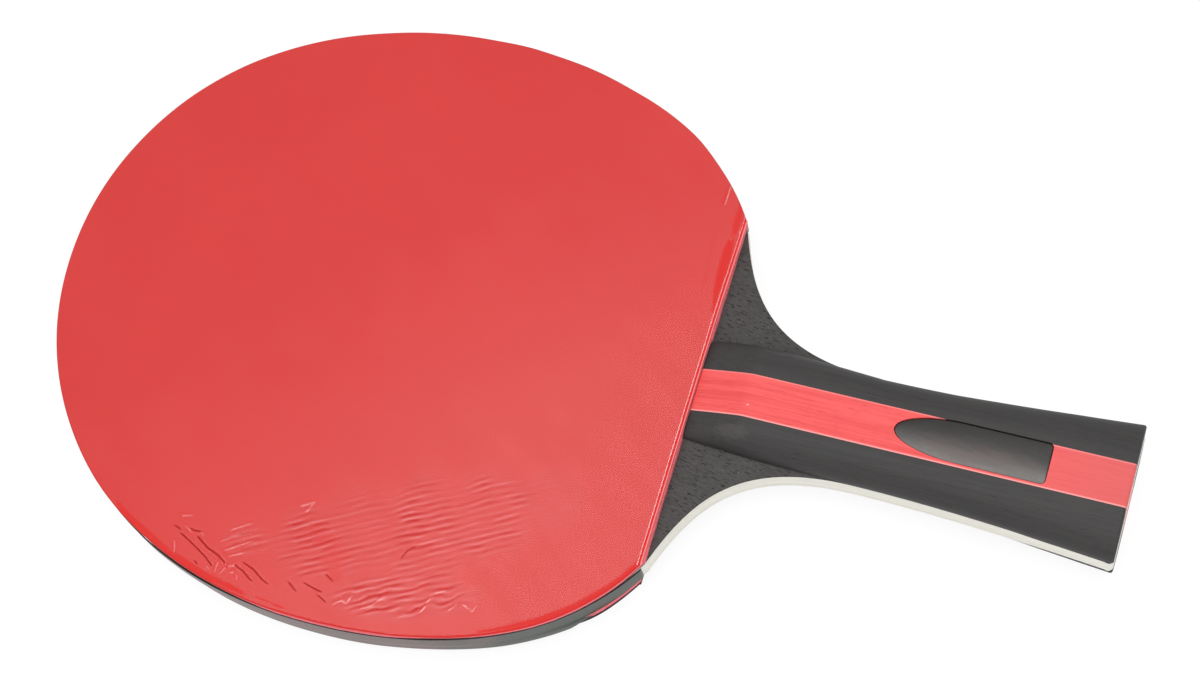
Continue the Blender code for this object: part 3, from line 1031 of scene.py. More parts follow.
@dataclass(frozen=True)
class BadgeFinish(Finish):
    """Smoked plastic with a soft polish, paler towards its near side as a painted reflection, and worn paler
    in its middle.
    """

    name: str = "smoked_plastic"
    colour: Colour = (0.022, 0.020, 0.019)
    near_reflection: Colour = (0.185, 0.176, 0.166)
    marked: Colour = (0.110, 0.070, 0.070)
    near_reflection_y: Pair = (3.2, -4.8)
    near_reflection_power: float = 1.6
    roughness: float = 0.26
    middle: Pair = (95.0, -0.8)
    middle_size: Pair = (17.0, 4.6)

    def paint(self, sheet: NodeSheet) -> None:
        """Wires a near side paled by a painted reflection, a paler middle, faint clouds and hairline rubs.

        Args:
            sheet: Where the nodes are wired.
        """
        clouds = sheet.band(sheet.grain((7, 1.4, 6), 0.12, detail=4.0), 0.35, 0.7)
        middle = sheet.spot(self.middle, self.middle_size, 0.15)
        share = sheet.calc("MULTIPLY", middle, sheet.band(clouds, 0.0, 1.0, 0.45, 1.0))
        rubs = sheet.grain((6, 0.35, 1), 0.2)
        roughness = sheet.band(rubs, 0.35, 0.75, self.roughness, self.roughness + 0.1)
        # painted reflection: the badge turns paler towards its near side, as a domed polish would mirror the
        # light
        across = sheet.band(sheet.axis("Y"), *self.near_reflection_y)
        deepened = sheet.calc("POWER", across, self.near_reflection_power)
        reflected = sheet.calc("MULTIPLY", deepened, sheet.band(clouds, 0.0, 1.0, 0.8, 1.0))
        colour = sheet.tint(reflected, self.colour, self.near_reflection)
        blushed = sheet.calc("MULTIPLY", share, sheet.band(across, 0.0, 0.5, 0.1, 0.55))
        colour = sheet.tint(blushed, colour, self.marked)
        sheet.skin(colour, roughness, sheet.unevenness(4.0, 0.006), 0.3)


@dataclass(frozen=True)
class PadFinish(Finish):
    """White foam tape."""

    name: str = "foam_pad"
    colour: Colour = (0.75, 0.75, 0.72)
    pore: Colour = (0.55, 0.55, 0.52)
    cell: float = 0.15

    def paint(self, sheet: NodeSheet) -> None:
        """Wires fine foam cells.

        Args:
            sheet: Where the nodes are wired.
        """
        pores = sheet.band(sheet.cells(self.cell), 0.1, 0.5)
        sheet.skin(sheet.tint(pores, self.pore, self.colour), 0.85, sheet.relief(pores, 0.03))


def add_piece(name: str, data: bpy.types.Mesh, finish: Finish, slot: str, node: str = "") -> bpy.types.Object:
    """Adds a finished piece to the racket.

    Args:
        name: The piece's name.
        data: Its mesh, in place.
        finish: What its surface is.
        slot: Not used.
        node: The node that it stands for, if it stands for one.

    Returns:
        The new object, riding on the racket's one body.
    """
    data.materials.clear()
    data.materials.append(finish.material())
    piece = put_in_scene(name, data)
    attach(piece, "root")
    if node:
        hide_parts(node)
    log.info("%s: %d faces", name, len(data.polygons))
    return piece


@dataclass
class Blade:
    """The five plies, glued face to face."""

    shape: BladeShape
    arris: float = 0.1
    sanding: float = 0.03
    glue_share: float = 0.4
    dyes: dict[Face, Pair] = field(
        default_factory=lambda: {Face.FRONT: (0.22, 0.66), Face.BACK: (0.05, 0.30)}
    )

    def build(self) -> None:
        """Makes every ply."""
        glue = span("front_medial_ply")[0] - span("core_ply")[1]
        spread = glue * self.glue_share
        cross = PlyEdgeFinish("cross_ply", (0.88, 0.86, 0.78), (0.70, 0.64, 0.53), (0.3, 9, 0.3))
        self.add_ply("core_ply", spread, PlyEdgeFinish(), "core_wood", 0)
        for face in Face:
            self.add_ply(face.node("medial_ply"), spread, cross, "medial_wood", 0)
            depth, butt_depth = self.dyes[face]
            top = face.heights("outer_ply")[1]
            dyed = VeneerFinish(name=face.node("veneer"), face_z=top, dye_depth=depth, butt_depth=butt_depth)
            self.add_ply(face.node("outer_ply"), spread, dyed, "black_dyed_veneer", face.value)

    def add_ply(self, node: str, spread: float, finish: Finish, slot: str, facing: int) -> None:
        """Makes one ply, grown into its share of the glue lines but not past the blade's faces.

        Args:
            node: The ply's node.
            spread: How far it grows towards each neighbour.
            finish: What its surface is.
            slot: A material slot's name, passed on to add_piece.
            facing: 1 or -1 for the ply of the front or back face, 0 for one between.
        """
        low, high = span(node)
        low -= spread if facing >= 0 else 0.0
        high += spread if facing <= 0 else 0.0
        shape = Shape()
        shape.plate(self.shape.outline(), low, high)
        if facing:
            shape.round_off(shape.edges_at(high if facing > 0 else low), self.arris, 2)
        shape.move(self.sand)
        add_piece(f"{node}_wood", shape.into_mesh(node), finish, slot, node)

    def sand(self, place: Vector) -> Vector:
        """Sands the blade unevenly by hand, always inwards.

        Args:
            place: A point of a ply.

        Returns:
            How far it moves.
        """
        depth = self.sanding * (0.5 + 0.5 * wander(place.x, place.y, 9.0, 1.7))
        inwards = -Vector((place.x - self.shape.edge_x, place.y, 0)).normalized()
        return depth * inwards


@dataclass
class Rubber:
    """A sponge with its topsheet, pips inward, on one face of the blade, trimmed by hand."""

    shape: BladeShape
    face: Face
    finish: Finish
    slot: str
    trim: Trim
    sponge_trim: Trim
    sponge_inset: float = 0.0
    overhang: Trim = LEVEL
    step: float = 0.6
    membrane: float = 0.7
    rim_radius: float = 0.9
    pip_pitch: float = 2.1
    pip_radius: float = 0.85
    pip_taper: float = 0.9
    pip_sides: int = 8
    pip_columns: int = 36
    pip_band: float = 5.0
    pip_inset: float = 0.3
    setback: float = 0.08
    far_reach: float = 0.31
    far_from: float = 12.0
    cut_wander: float = 0.03
    sponge_reach: float = 0.17
    sponge_wander: float = 0.07
    tongue_span: Pair = (-11.9, 12.6)
    tongue_step: float = 0.2
    wall_cuts: int = 4
    pit_depth: float = 0.05
    pit_size: float = 0.45
    cut_radius: float = 0.12

    def build(self) -> None:
        """Makes the sponge, the membrane and the pips between them."""
        self.add_sponge()
        self.add_membrane()
        self.add_pips()

    def closed(self, margin: Callable[[float], float], end: Callable[[float], float]) -> list[Vector]:
        """A rubber's closed outline.

        Args:
            margin: How far the rim stands out, at a share of the run round the head.
            end: The straight edge's X at a Y.

        Returns:
            Points from the left shoulder round the tip and back along the straight edge.
        """
        run = self.shape.head_run(margin, self.shape.edge_x)
        rim = [point for point in run.even(self.step) if point.x < end(point.y)]
        first, last = rim[0], rim[-1]
        across = Path([Vector((0, last.y)), Vector((0, first.y))]).even(self.step)
        return rim + [Vector((end(point.y), point.y)) for point in across]

    def sheet_end(self, y: float) -> float:
        """Where the topsheet stops short of the straight edge at a Y, cut by hand and so not square."""
        setback = self.setback - self.far_reach * ease(y, self.far_from, self.shape.shoulder_width / 2)
        return self.shape.edge_x - setback + self.cut_wander * wander(y, 0.0, 6.0, 4.1 + self.face.value)

    def sponge_end(self, y: float) -> float:
        """Cuts the sponge's end slightly wavy, and short where it gives way to the handle's tongue.

        Args:
            y: A place along the straight edge.

        Returns:
            The X where the sponge ends.
        """
        left, right = self.tongue_span
        wave = self.sponge_reach + self.sponge_wander * wander(y, 3.0, 3.2, 8.3 + self.face.value)
        steps = (right - self.tongue_step, right + self.tongue_step)
        wing = max(ease(y, *steps), ease(-y, -left - self.tongue_step, -left + self.tongue_step))
        return self.shape.edge_x + wave * wing

    def add_sponge(self) -> None:
        """Makes the sponge, its wall pitted by open cells."""
        node = self.face.node("sponge")
        shape = Shape()
        shape.plate(self.closed(self.sponge_margin, self.sponge_end), *span(node))
        shape.split_wall(self.wall_cuts)
        shape.move(self.pit)
        add_piece(f"{node}_foam", shape.into_mesh(node), SpongeFinish(), "sponge", node)

    def skin_margin(self, share: float) -> float:
        """How far the topsheet's rim stands out, at a share of the run round the head."""
        return self.trim.at(share) + self.overhang.at(share)

    def sponge_margin(self, share: float) -> float:
        """How far the sponge's rim stands out, at a share of the run round the head."""
        return self.sponge_trim.at(share) - self.sponge_inset

    def pit(self, place: Vector) -> Vector:
        """Draws the sponge's wall in a little, unevenly."""
        depth = self.pit_depth * (1 + noise.noise(place / self.pit_size))
        return depth * Vector((self.shape.widest_x - place.x, -place.y, 0)).normalized()

    def add_membrane(self) -> None:
        """Makes the topsheet's smooth skin with its rolled rim."""
        node = self.face.node("topsheet")
        outer = self.face.heights("topsheet")[1]
        inner = outer - self.face.value * self.membrane
        shape = Shape()
        shape.plate(self.closed(self.skin_margin, self.sheet_end), *sorted((inner, outer)))
        edges = shape.edges_at(outer)
        cut = [edge for edge in edges if self.on_cut(edge)]
        rim = [edge for edge in edges if edge not in cut]
        shape.round_off(rim, min(self.rim_radius, self.membrane - 0.05), 5)
        shape.round_off(cut, self.cut_radius, 3)
        shape.mend()
        add_piece(f"{node}_skin", shape.into_mesh(node), self.finish, self.slot, node)

    def on_cut(self, edge: bmesh.types.BMEdge) -> bool:
        """True for an edge that lies along the straight cut."""
        return all(vert.co.x > self.sheet_end(vert.co.y) - 0.02 for vert in edge.verts)

    def add_pips(self) -> None:
        """Makes the rows of short pegs that can be seen between the membrane and the sponge."""
        node = self.face.node("topsheet")
        tip, outer = self.face.heights("topsheet")
        base = outer - self.face.value * self.membrane
        radii = (self.pip_radius, self.pip_radius * self.pip_taper)
        first, second = radii if tip > base else radii[::-1]
        shape = Shape()
        for spot in self.pip_places():
            bmesh.ops.create_cone(
                shape.mesh,
                cap_ends=True,
                segments=self.pip_sides,
                radius1=first,
                radius2=second,
                depth=abs(base - tip),
                matrix=Matrix.Translation((spot.x, spot.y, (base + tip) / 2)),
            )
        add_piece(f"{node}_pips", shape.into_mesh(f"{node}_pips"), self.finish, self.slot)

    def pip_places(self) -> list[Vector]:
        """Sets out the outermost rows of pips, staggered along the straight edge.

        Returns:
            The pips' places.
        """
        rise = self.pip_pitch * math.sqrt(3) / 2
        places = []
        for row in range(math.ceil(self.shape.head_length / rise)):
            shift = self.pip_pitch / 2 if row % 2 else 0.0
            x = self.shape.edge_x - self.setback - self.pip_radius - 0.05 - row * rise
            for column in range(-self.pip_columns, self.pip_columns + 1):
                y = column * self.pip_pitch + shift
                if 0 < self.cover(x, y) - self.pip_radius < self.pip_band:
                    places.append(Vector((x, y)))
        return places

    def cover(self, x: float, y: float) -> float:
        """Measures how far inside the membrane's edge a place is.

        Args:
            x: The place along the racket.
            y: The place across it.

        Returns:
            The distance, less than 0 outside.
        """
        to_cut = self.sheet_end(y) - x
        to_side = self.shape.head_half_width(x) - abs(y)
        to_tip = x - (self.shape.widest_x - self.shape.widest_from_tip)
        if min(to_side, to_tip) < 0:
            return -1.0
        ahead = self.shape.head_half_width(x - 1) - self.shape.head_half_width(x + 1)
        lean = math.atan(abs(ahead) / 2)
        return min(to_cut, to_side * math.cos(lean) - self.pip_inset)


@dataclass(frozen=True)
class Mark:
    """A mark in the film along a run of places, each with the mark's half width there.

    Its veil is what the film's own gains on the run, or loses if negative; the border gains
    its own amount beside it.
    """

    run: tuple[Triple, ...]
    veil: float
    border: float = 0.0
    height: float = 0.0
    shade: float = 0.0

    @cached_property
    def widest(self) -> float:
        """The mark's greatest half width."""
        return max(width for _, _, width in self.run)

    @cached_property
    def box(self) -> tuple[float, float, float, float]:
        """The bounds of what the mark can reach.

        Returns:
            The least and greatest X, then Y, of such places.
        """
        xs, ys, _ = zip(*self.run)
        reach = MARK_REACH * self.widest + 1.2
        return min(xs) - reach, max(xs) + reach, min(ys) - reach, max(ys) + reach

    def away(self, x: float, y: float) -> float:
        """Measures how far a place is from the run.

        Args:
            x: The place along the racket.
            y: The place across it.

        Returns:
            The distance in half widths of the mark, or infinity where the mark can't reach.
        """
        left, right, near, far = self.box
        if not (left < x < right and near < y < far):
            return math.inf
        least = math.inf
        for (x0, y0, first), (x1, y1, last) in zip(self.run, self.run[1:]):
            run_x, run_y = x1 - x0, y1 - y0
            share = ((x - x0) * run_x + (y - y0) * run_y) / (run_x**2 + run_y**2)
            share = min(max(share, 0.0), 1.0)
            distance = math.hypot(x - x0 - share * run_x, y - y0 - share * run_y)
            least = min(least, distance / (first + share * (last - first)))
        return least


def clinging(*run: Triple, veil: float = -0.94) -> Mark:
    """A stretch where the film lies tight on the rubber and shows it clear."""
    return Mark(run, veil)


def crease(*run: Triple) -> Mark:
    """A sharp fold: painted shade along its line and a painted highlight beside it."""
    return Mark(run, -0.95, border=0.5, height=0.02, shade=0.9)


def pucker(*run: Triple) -> Mark:
    """A small raised fold, milkier as a painted highlight and less milky beside it."""
    return Mark(run, 1.1, border=-0.35, height=0.025)


@dataclass(frozen=True)
class RipplePatch:
    """An oval patch where the film is rippled."""

    centre: Pair
    size: Pair
    strength: float
    turn: float = 0.26

    def at(self, x: float, y: float) -> float:
        """Measures how strongly the patch ripples the film.

        Args:
            x: A place along the racket.
            y: The place across it.

        Returns:
            The strength there, and 0 outside the oval.
        """
        run_x, run_y = x - self.centre[0], y - self.centre[1]
        along = (run_x * math.cos(self.turn) + run_y * math.sin(self.turn)) / self.size[0]
        across = (run_y * math.cos(self.turn) - run_x * math.sin(self.turn)) / self.size[1]
        return self.strength * (1 - ease(math.hypot(along, across), 0.55, 1.15))


RIPPLES = (
    RipplePatch((-20.5, -49.5), (11.0, 16.0), 0.85),
    RipplePatch((-7.8, -41.3), (12.0, 12.5), 0.7),
    RipplePatch((-46.5, -58.5), (8.5, 10.5), 0.9),
    RipplePatch((-21.5, -64.6), (18.5, 6.0), 1.05),
    RipplePatch((-35.7, -52.5), (10.5, 12.5), 0.6),
    RipplePatch((-60.5, -61.0), (6.5, 4.5), 0.75),
    RipplePatch((5.0, -34.0), (8.0, 8.0), 0.45),
)
FILM_MARKS = (
    clinging(
        (-93.6, -60.3, 0.5), (-89.4, -63.1, 0.8), (-85.6, -64.7, 0.85), (-81.7, -66.6, 0.9),
        (-77.9, -68.5, 0.95), (-74.3, -69.5, 1.0), (-70.8, -70.5, 1.0), (-67.3, -71.5, 0.9),
        (-64.0, -72.0, 0.75), (-60.7, -72.5, 0.75), (-58.0, -73.0, 0.5), (-56.4, -73.4, 0.2),
    ),
    clinging((-54.1, -73.2, 0.2), (-51.0, -73.5, 0.25)),
    clinging((-49.9, -73.8, 0.2), (-46.9, -74.0, 0.25)),
    clinging(
        (-3.5, -68.6, 0.2), (3.7, -65.4, 0.5), (10.2, -61.9, 0.75), (16.6, -57.5, 0.95),
        (20.1, -54.4, 1.1), (23.5, -50.9, 1.1), (26.0, -47.8, 1.0), (28.0, -44.4, 0.85),
        (28.7, -42.5, 0.5),
    ),
    clinging(
        (26.4, 47.4, 0.3), (26.9, 45.4, 0.6), (27.1, 43.3, 0.9), (27.2, 41.0, 1.0),
        (27.2, 38.9, 0.7), veil=-0.8,
    ),
    clinging(
        (27.1, 37.0, 0.8), (27.0, 34.9, 1.25), (27.1, 31.3, 1.4), (27.2, 27.7, 1.35),
        (27.3, 24.1, 0.95), (27.6, 20.8, 0.5), (27.8, 18.6, 0.2),
    ),
    clinging((23.0, 41.0, 0.25), (23.2, 36.1, 0.35), (23.3, 31.9, 0.45), (23.8, 24.3, 0.3), veil=-0.22),
    clinging((-46.0, -55.0, 2.0), (-40.0, -58.5, 3.0), (-38.0, -64.0, 2.0), veil=-0.25),
    crease((-76.3, -63.4, 0.22), (-72.8, -65.1, 0.22), (-68.9, -67.2, 0.22), (-66.7, -68.8, 0.22)),
    crease((-72.1, -63.2, 0.26), (-69.0, -65.1, 0.26), (-66.1, -66.1, 0.26), (-63.9, -67.4, 0.22)),
    crease((-78.4, -62.0, 0.2), (-76.8, -62.5, 0.2)),
    crease((-74.4, -61.8, 0.2), (-73.1, -62.0, 0.22), (-71.9, -61.8, 0.2)),
    crease((-61.3, -67.3, 0.2), (-59.1, -68.2, 0.22), (-56.4, -69.9, 0.2)),
    crease((-59.5, -66.3, 0.2), (-56.6, -67.3, 0.22), (-54.2, -68.9, 0.22), (-52.4, -69.6, 0.18)),
    crease((-70.8, -68.8, 0.2), (-70.1, -69.4, 0.2)),
    crease((-47.8, -68.0, 0.2), (-45.5, -69.5, 0.2)),
    crease((-44.2, -67.2, 0.2), (-42.0, -67.8, 0.22), (-39.6, -68.2, 0.2)),
    crease((-40.2, -69.2, 0.2), (-37.8, -70.2, 0.2)),
    crease((-40.0, -64.0, 0.18), (-37.9, -65.2, 0.18)),
    crease((-24.3, -56.2, 0.15), (-23.5, -54.1, 0.15), (-22.0, -52.4, 0.15)),
    pucker((-77.4, -59.3, 0.28), (-75.2, -58.6, 0.22)),
    pucker((-76.0, -61.5, 0.18), (-74.9, -61.9, 0.2), (-74.3, -62.6, 0.18)),
    pucker((-71.7, -62.0, 0.18), (-71.0, -62.5, 0.18)),
    pucker((-66.5, -62.8, 0.2), (-63.5, -60.8, 0.25), (-60.2, -59.3, 0.2)),
    pucker((-64.8, -64.6, 0.2), (-61.8, -62.6, 0.25), (-59.4, -60.9, 0.2)),
    pucker((-63.4, -65.7, 0.2), (-60.7, -64.3, 0.22)),
    pucker((-65.1, -59.7, 0.2), (-61.3, -57.2, 0.2)),
    pucker((-62.6, -67.9, 0.35), (-61.5, -67.4, 0.35)),
    pucker((-77.3, -65.6, 0.2), (-76.7, -66.9, 0.2), (-76.4, -68.3, 0.2)),
    pucker((-67.8, -70.2, 0.2), (-67.7, -69.3, 0.2), (-67.0, -69.7, 0.2)),
    pucker((-65.5, -70.2, 0.2), (-65.6, -68.7, 0.2), (-65.4, -67.9, 0.2)),
    pucker((-64.1, -70.3, 0.18), (-63.7, -69.1, 0.18), (-63.4, -68.4, 0.18)),
    pucker((-62.0, -69.5, 0.2), (-61.0, -68.9, 0.2)),
    pucker((-59.9, -70.4, 0.18), (-60.0, -69.5, 0.18)),
    pucker((-51.0, -50.0, 0.3), (-48.3, -48.4, 0.3), (-49.3, -51.0, 0.25)),
    pucker((-36.0, -70.3, 0.2), (-34.6, -68.9, 0.2), (-33.2, -69.3, 0.2), (-32.5, -67.2, 0.2)),
    pucker((-29.5, -69.6, 0.2), (-27.0, -67.9, 0.2), (-25.2, -65.4, 0.2)),
    pucker((-16.0, -66.9, 0.22), (-15.2, -64.8, 0.2), (-14.9, -62.5, 0.2), (-12.0, -60.5, 0.2)),
    pucker((-9.9, -64.8, 0.22), (-8.5, -63.1, 0.22)),
    pucker((-7.3, -62.7, 0.2), (-4.6, -63.7, 0.22), (-4.1, -62.2, 0.2)),
    # painted highlights: a bright line along a crease, with painted shadow to its left, and two small glints
    Mark(((23.1, 50.0, 0.2), (23.1, 47.6, 0.2), (23.1, 45.5, 0.2)), 1.6, height=0.04),
    Mark(((22.6, 49.9, 0.3), (22.6, 47.3, 0.35), (22.6, 45.4, 0.25)), -0.5),
    Mark(((26.7, 37.2, 0.22), (27.2, 36.9, 0.22)), 1.6),
    Mark(((28.3, 39.6, 0.2), (28.4, 39.0, 0.2)), 1.6),
)


@dataclass
class Film:
    """The clear film on the red rubber: rippled and creased along the near side of the head."""

    shape: BladeShape
    trim: Trim
    overhang: Trim
    thickness: float = 0.065
    lift: float = 0.015
    margin: float = 0.33
    near_margin: float = 0.1
    margin_wander: float = 0.08
    setback: float = 0.80
    far_reach: float = 0.38
    far_y: Pair = (15.0, 42.0)
    cut_wander: float = 0.04
    columns: int = 128
    rows: int = 120
    crowded: tuple[float, ...] = (0.0, 0.2, 0.42, 1.0)
    corner_share: float = 0.35
    edge_highlight_veil: tuple[float, ...] = (3.6, 3.6, 0.8)
    least_veil: float = 0.04
    fine_margins: tuple[float, ...] = (1.3, 0.65, 0.35)
    ripple_height: float = 0.028
    ripple_veil: float = 1.15
    ripple_shade: float = 0.5
    ripple_pitch: float = 1.55
    row_slope: float = 0.54
    crest_size: Pair = (4.2, 1.4)
    crest_share: float = 0.72
    tangled_y: Pair = (59.0, 64.0)
    ripples: tuple[RipplePatch, ...] = RIPPLES
    marks: tuple[Mark, ...] = FILM_MARKS

    def build(self) -> None:
        """Makes the film as one closed sheet with its veil and its shade."""
        node = "front_protective_film"
        base = span("front_topsheet")[1] + self.lift
        shape = Shape()
        veil = shape.mesh.verts.layers.float.new(VEIL)
        shade = shape.mesh.verts.layers.float.new(SHADE)
        grid = bmesh.ops.create_grid(shape.mesh, x_segments=self.columns, y_segments=self.rows, size=0.5)
        place = self.spread()
        for vert in grid["verts"]:
            step = round((0.5 - vert.co.x) * self.columns)
            spot = place(self.crowd(step), vert.co.y + 0.5)
            vert.co = (spot.x, spot.y, 0.0)
            # painted highlight: the first columns along the straight cut are made milky, a bright line at the
            # film's edge
            vert[veil] = self.edge_highlight_veil[step] if step < len(self.edge_highlight_veil) else 0.0
        for level, margin in enumerate(self.fine_margins, 1):
            near = {vert for vert in shape.mesh.verts if self.detail(vert.co, margin) >= level}
            fine = [edge for edge in shape.mesh.edges if near.issuperset(edge.verts)]
            bmesh.ops.subdivide_edges(shape.mesh, edges=fine, cuts=1, use_grid_fill=True)
        for vert in shape.mesh.verts:
            height, milkiness, vert[shade] = self.surface(vert.co.x, vert.co.y)
            vert.co.z = base + self.thickness + height
            vert[veil] = max(vert[veil], milkiness)
        rim = [edge for edge in shape.mesh.edges if edge.is_boundary]
        for part in bmesh.ops.extrude_edge_only(shape.mesh, edges=rim)["geom"]:
            if isinstance(part, bmesh.types.BMVert):
                part.co.z = base
                part[veil] = part[shade] = 0.0
        shape.close()
        add_piece("front_film_sheet", shape.into_mesh(node), FilmFinish(), "clear_film", node)

    def crowd(self, step: int) -> float:
        """Packs the columns close beside the straight edge.

        Args:
            step: A column's count from that edge.

        Returns:
            The column's share along the film.
        """
        known = [width / self.shape.head_length for width in self.crowded]
        if step < len(known):
            return 1 - known[step]
        last = len(known) - 1
        return (1 - known[-1]) * (1 - (step - last) / (self.columns - last))

    def inset(self, share: float) -> float:
        """Measures how far the film's edge stays from the blade's.

        Args:
            share: A share of the run round the head.

        Returns:
            The distance.
        """
        kept = self.margin + self.near_margin * hump(share, 0.06, 0.09)
        kept += self.margin_wander * wander(share * 400, 0, 9.0, 2.2)
        return self.trim.at(share) + self.overhang.at(share) - kept

    def spread(self) -> Callable[[float, float], Vector]:
        """Spreads the unit square over the film's outline.

        Returns:
            The mapping, from shares along the racket and across it.
        """
        run = self.shape.head_run(self.inset, self.shape.edge_x - self.setback)
        corner = self.corner_share
        ends = {(0, 0): run.at(corner), (1, 0): run.at(0), (0, 1): run.at(1 - corner), (1, 1): run.at(1)}

        def straight(v: float) -> Vector:
            """Cuts the film's edge beside the straight edge.

            Args:
                v: The share across the racket.

            Returns:
                The edge's point there.
            """
            spot = run.at(0).lerp(run.at(1), v)
            reach = self.far_reach * ease(spot.y, *self.far_y)
            return spot + Vector((reach + self.cut_wander * wander(spot.y, 5.0, 5.0, 6.6), 0))

        def place(u: float, v: float) -> Vector:
            """Blends the film's four edges.

            Args:
                u: The share along the racket.
                v: The share across it.

            Returns:
                The film's point there.
            """
            sides = (1 - v) * run.at(corner * (1 - u)) + v * run.at(1 - corner * (1 - u))
            sides += (1 - u) * run.at(corner + v * (1 - 2 * corner)) + u * straight(v)
            weights = {(0, 0): (1 - u) * (1 - v), (1, 0): u * (1 - v), (0, 1): (1 - u) * v, (1, 1): u * v}
            return sides - sum((w * ends[key] for key, w in weights.items()), Vector((0, 0)))

        return place

    def rippled(self, x: float, y: float) -> float:
        """How strongly the film is rippled at a place, from 0 to about 1."""
        strength = max(patch.at(x, y) for patch in self.ripples)
        return strength * (0.85 + 0.35 * wander(x, y, 8.0, 9.4)) if strength else 0.0

    def ripple(self, x: float, y: float) -> float:
        """Makes slanting rows of short crests, tangled at the near rim.

        Args:
            x: A place along the racket.
            y: The place across it.

        Returns:
            The ripple there, from about -1 to 1.
        """
        strength = self.rippled(x, y)
        if strength < 0.01:
            return 0.0
        tilt = math.hypot(1, self.row_slope)
        along = (x + self.row_slope * y) / tilt
        across = (y - self.row_slope * x) / tilt + 0.5 * wander(x, y, 6.0, 3.3)
        tangled = ease(0.25 * (x + 21) - y, *self.tangled_y)
        across += tangled * 0.9 * wander(x, y, 2.8, 5.5)
        length, width = self.crest_size
        share = self.crest_share + noise.noise(Vector((along / length, across / width, 7.1)))
        crest = math.sin(across * math.tau / self.ripple_pitch)
        return strength * min(max(share, 0.0), 1.0) * (crest + 0.25 * crest**2)

    def detail(self, place: Vector, margin: float) -> int:
        """Chooses how finely the sheet is divided.

        Args:
            place: A point of the sheet.
            margin: How far beyond a mark the fine mesh reaches.

        Returns:
            How many times the edges there are halved.
        """
        level = 2 if self.rippled(place.x, place.y) > 0.03 else 0
        for mark in self.marks:
            away = mark.away(place.x, place.y) * mark.widest
            if mark.widest < 0.5 and away < 2.4 * mark.widest + margin:
                return 3
            if away < 1.3 * mark.widest + margin:
                level = 2
        return level

    def surface(self, x: float, y: float) -> tuple[float, float, float]:
        """Ripples and marks the sheet.

        Args:
            x: A place along the racket.
            y: The place across it.

        Returns:
            The sheet's height over its flat, how milky it is, 1 where it lies loose and flat, and how
            dark its folds make it, from 0 to 1.
        """
        crest = self.ripple(x, y)
        height = self.ripple_height * crest
        # crests milkier, and pale as a painted highlight where thick; troughs darkened with painted shade
        veil = 1 + self.ripple_veil * (crest if crest > 0 else 0.35 * crest)
        shade = self.ripple_shade * max(-crest, 0.0)
        for mark in self.marks:
            away = mark.away(x, y)
            if away < MARK_REACH:
                height += mark.height * math.exp(-(away**2))
                veil += mark.veil * (1 - ease(away, 0.45, 1.25)) + mark.border * hump(away, 2.0, 0.9)
                shade = max(shade, mark.shade * (1 - ease(away, 0.2, 1.3)))
        return height, max(veil, self.least_veil), shade


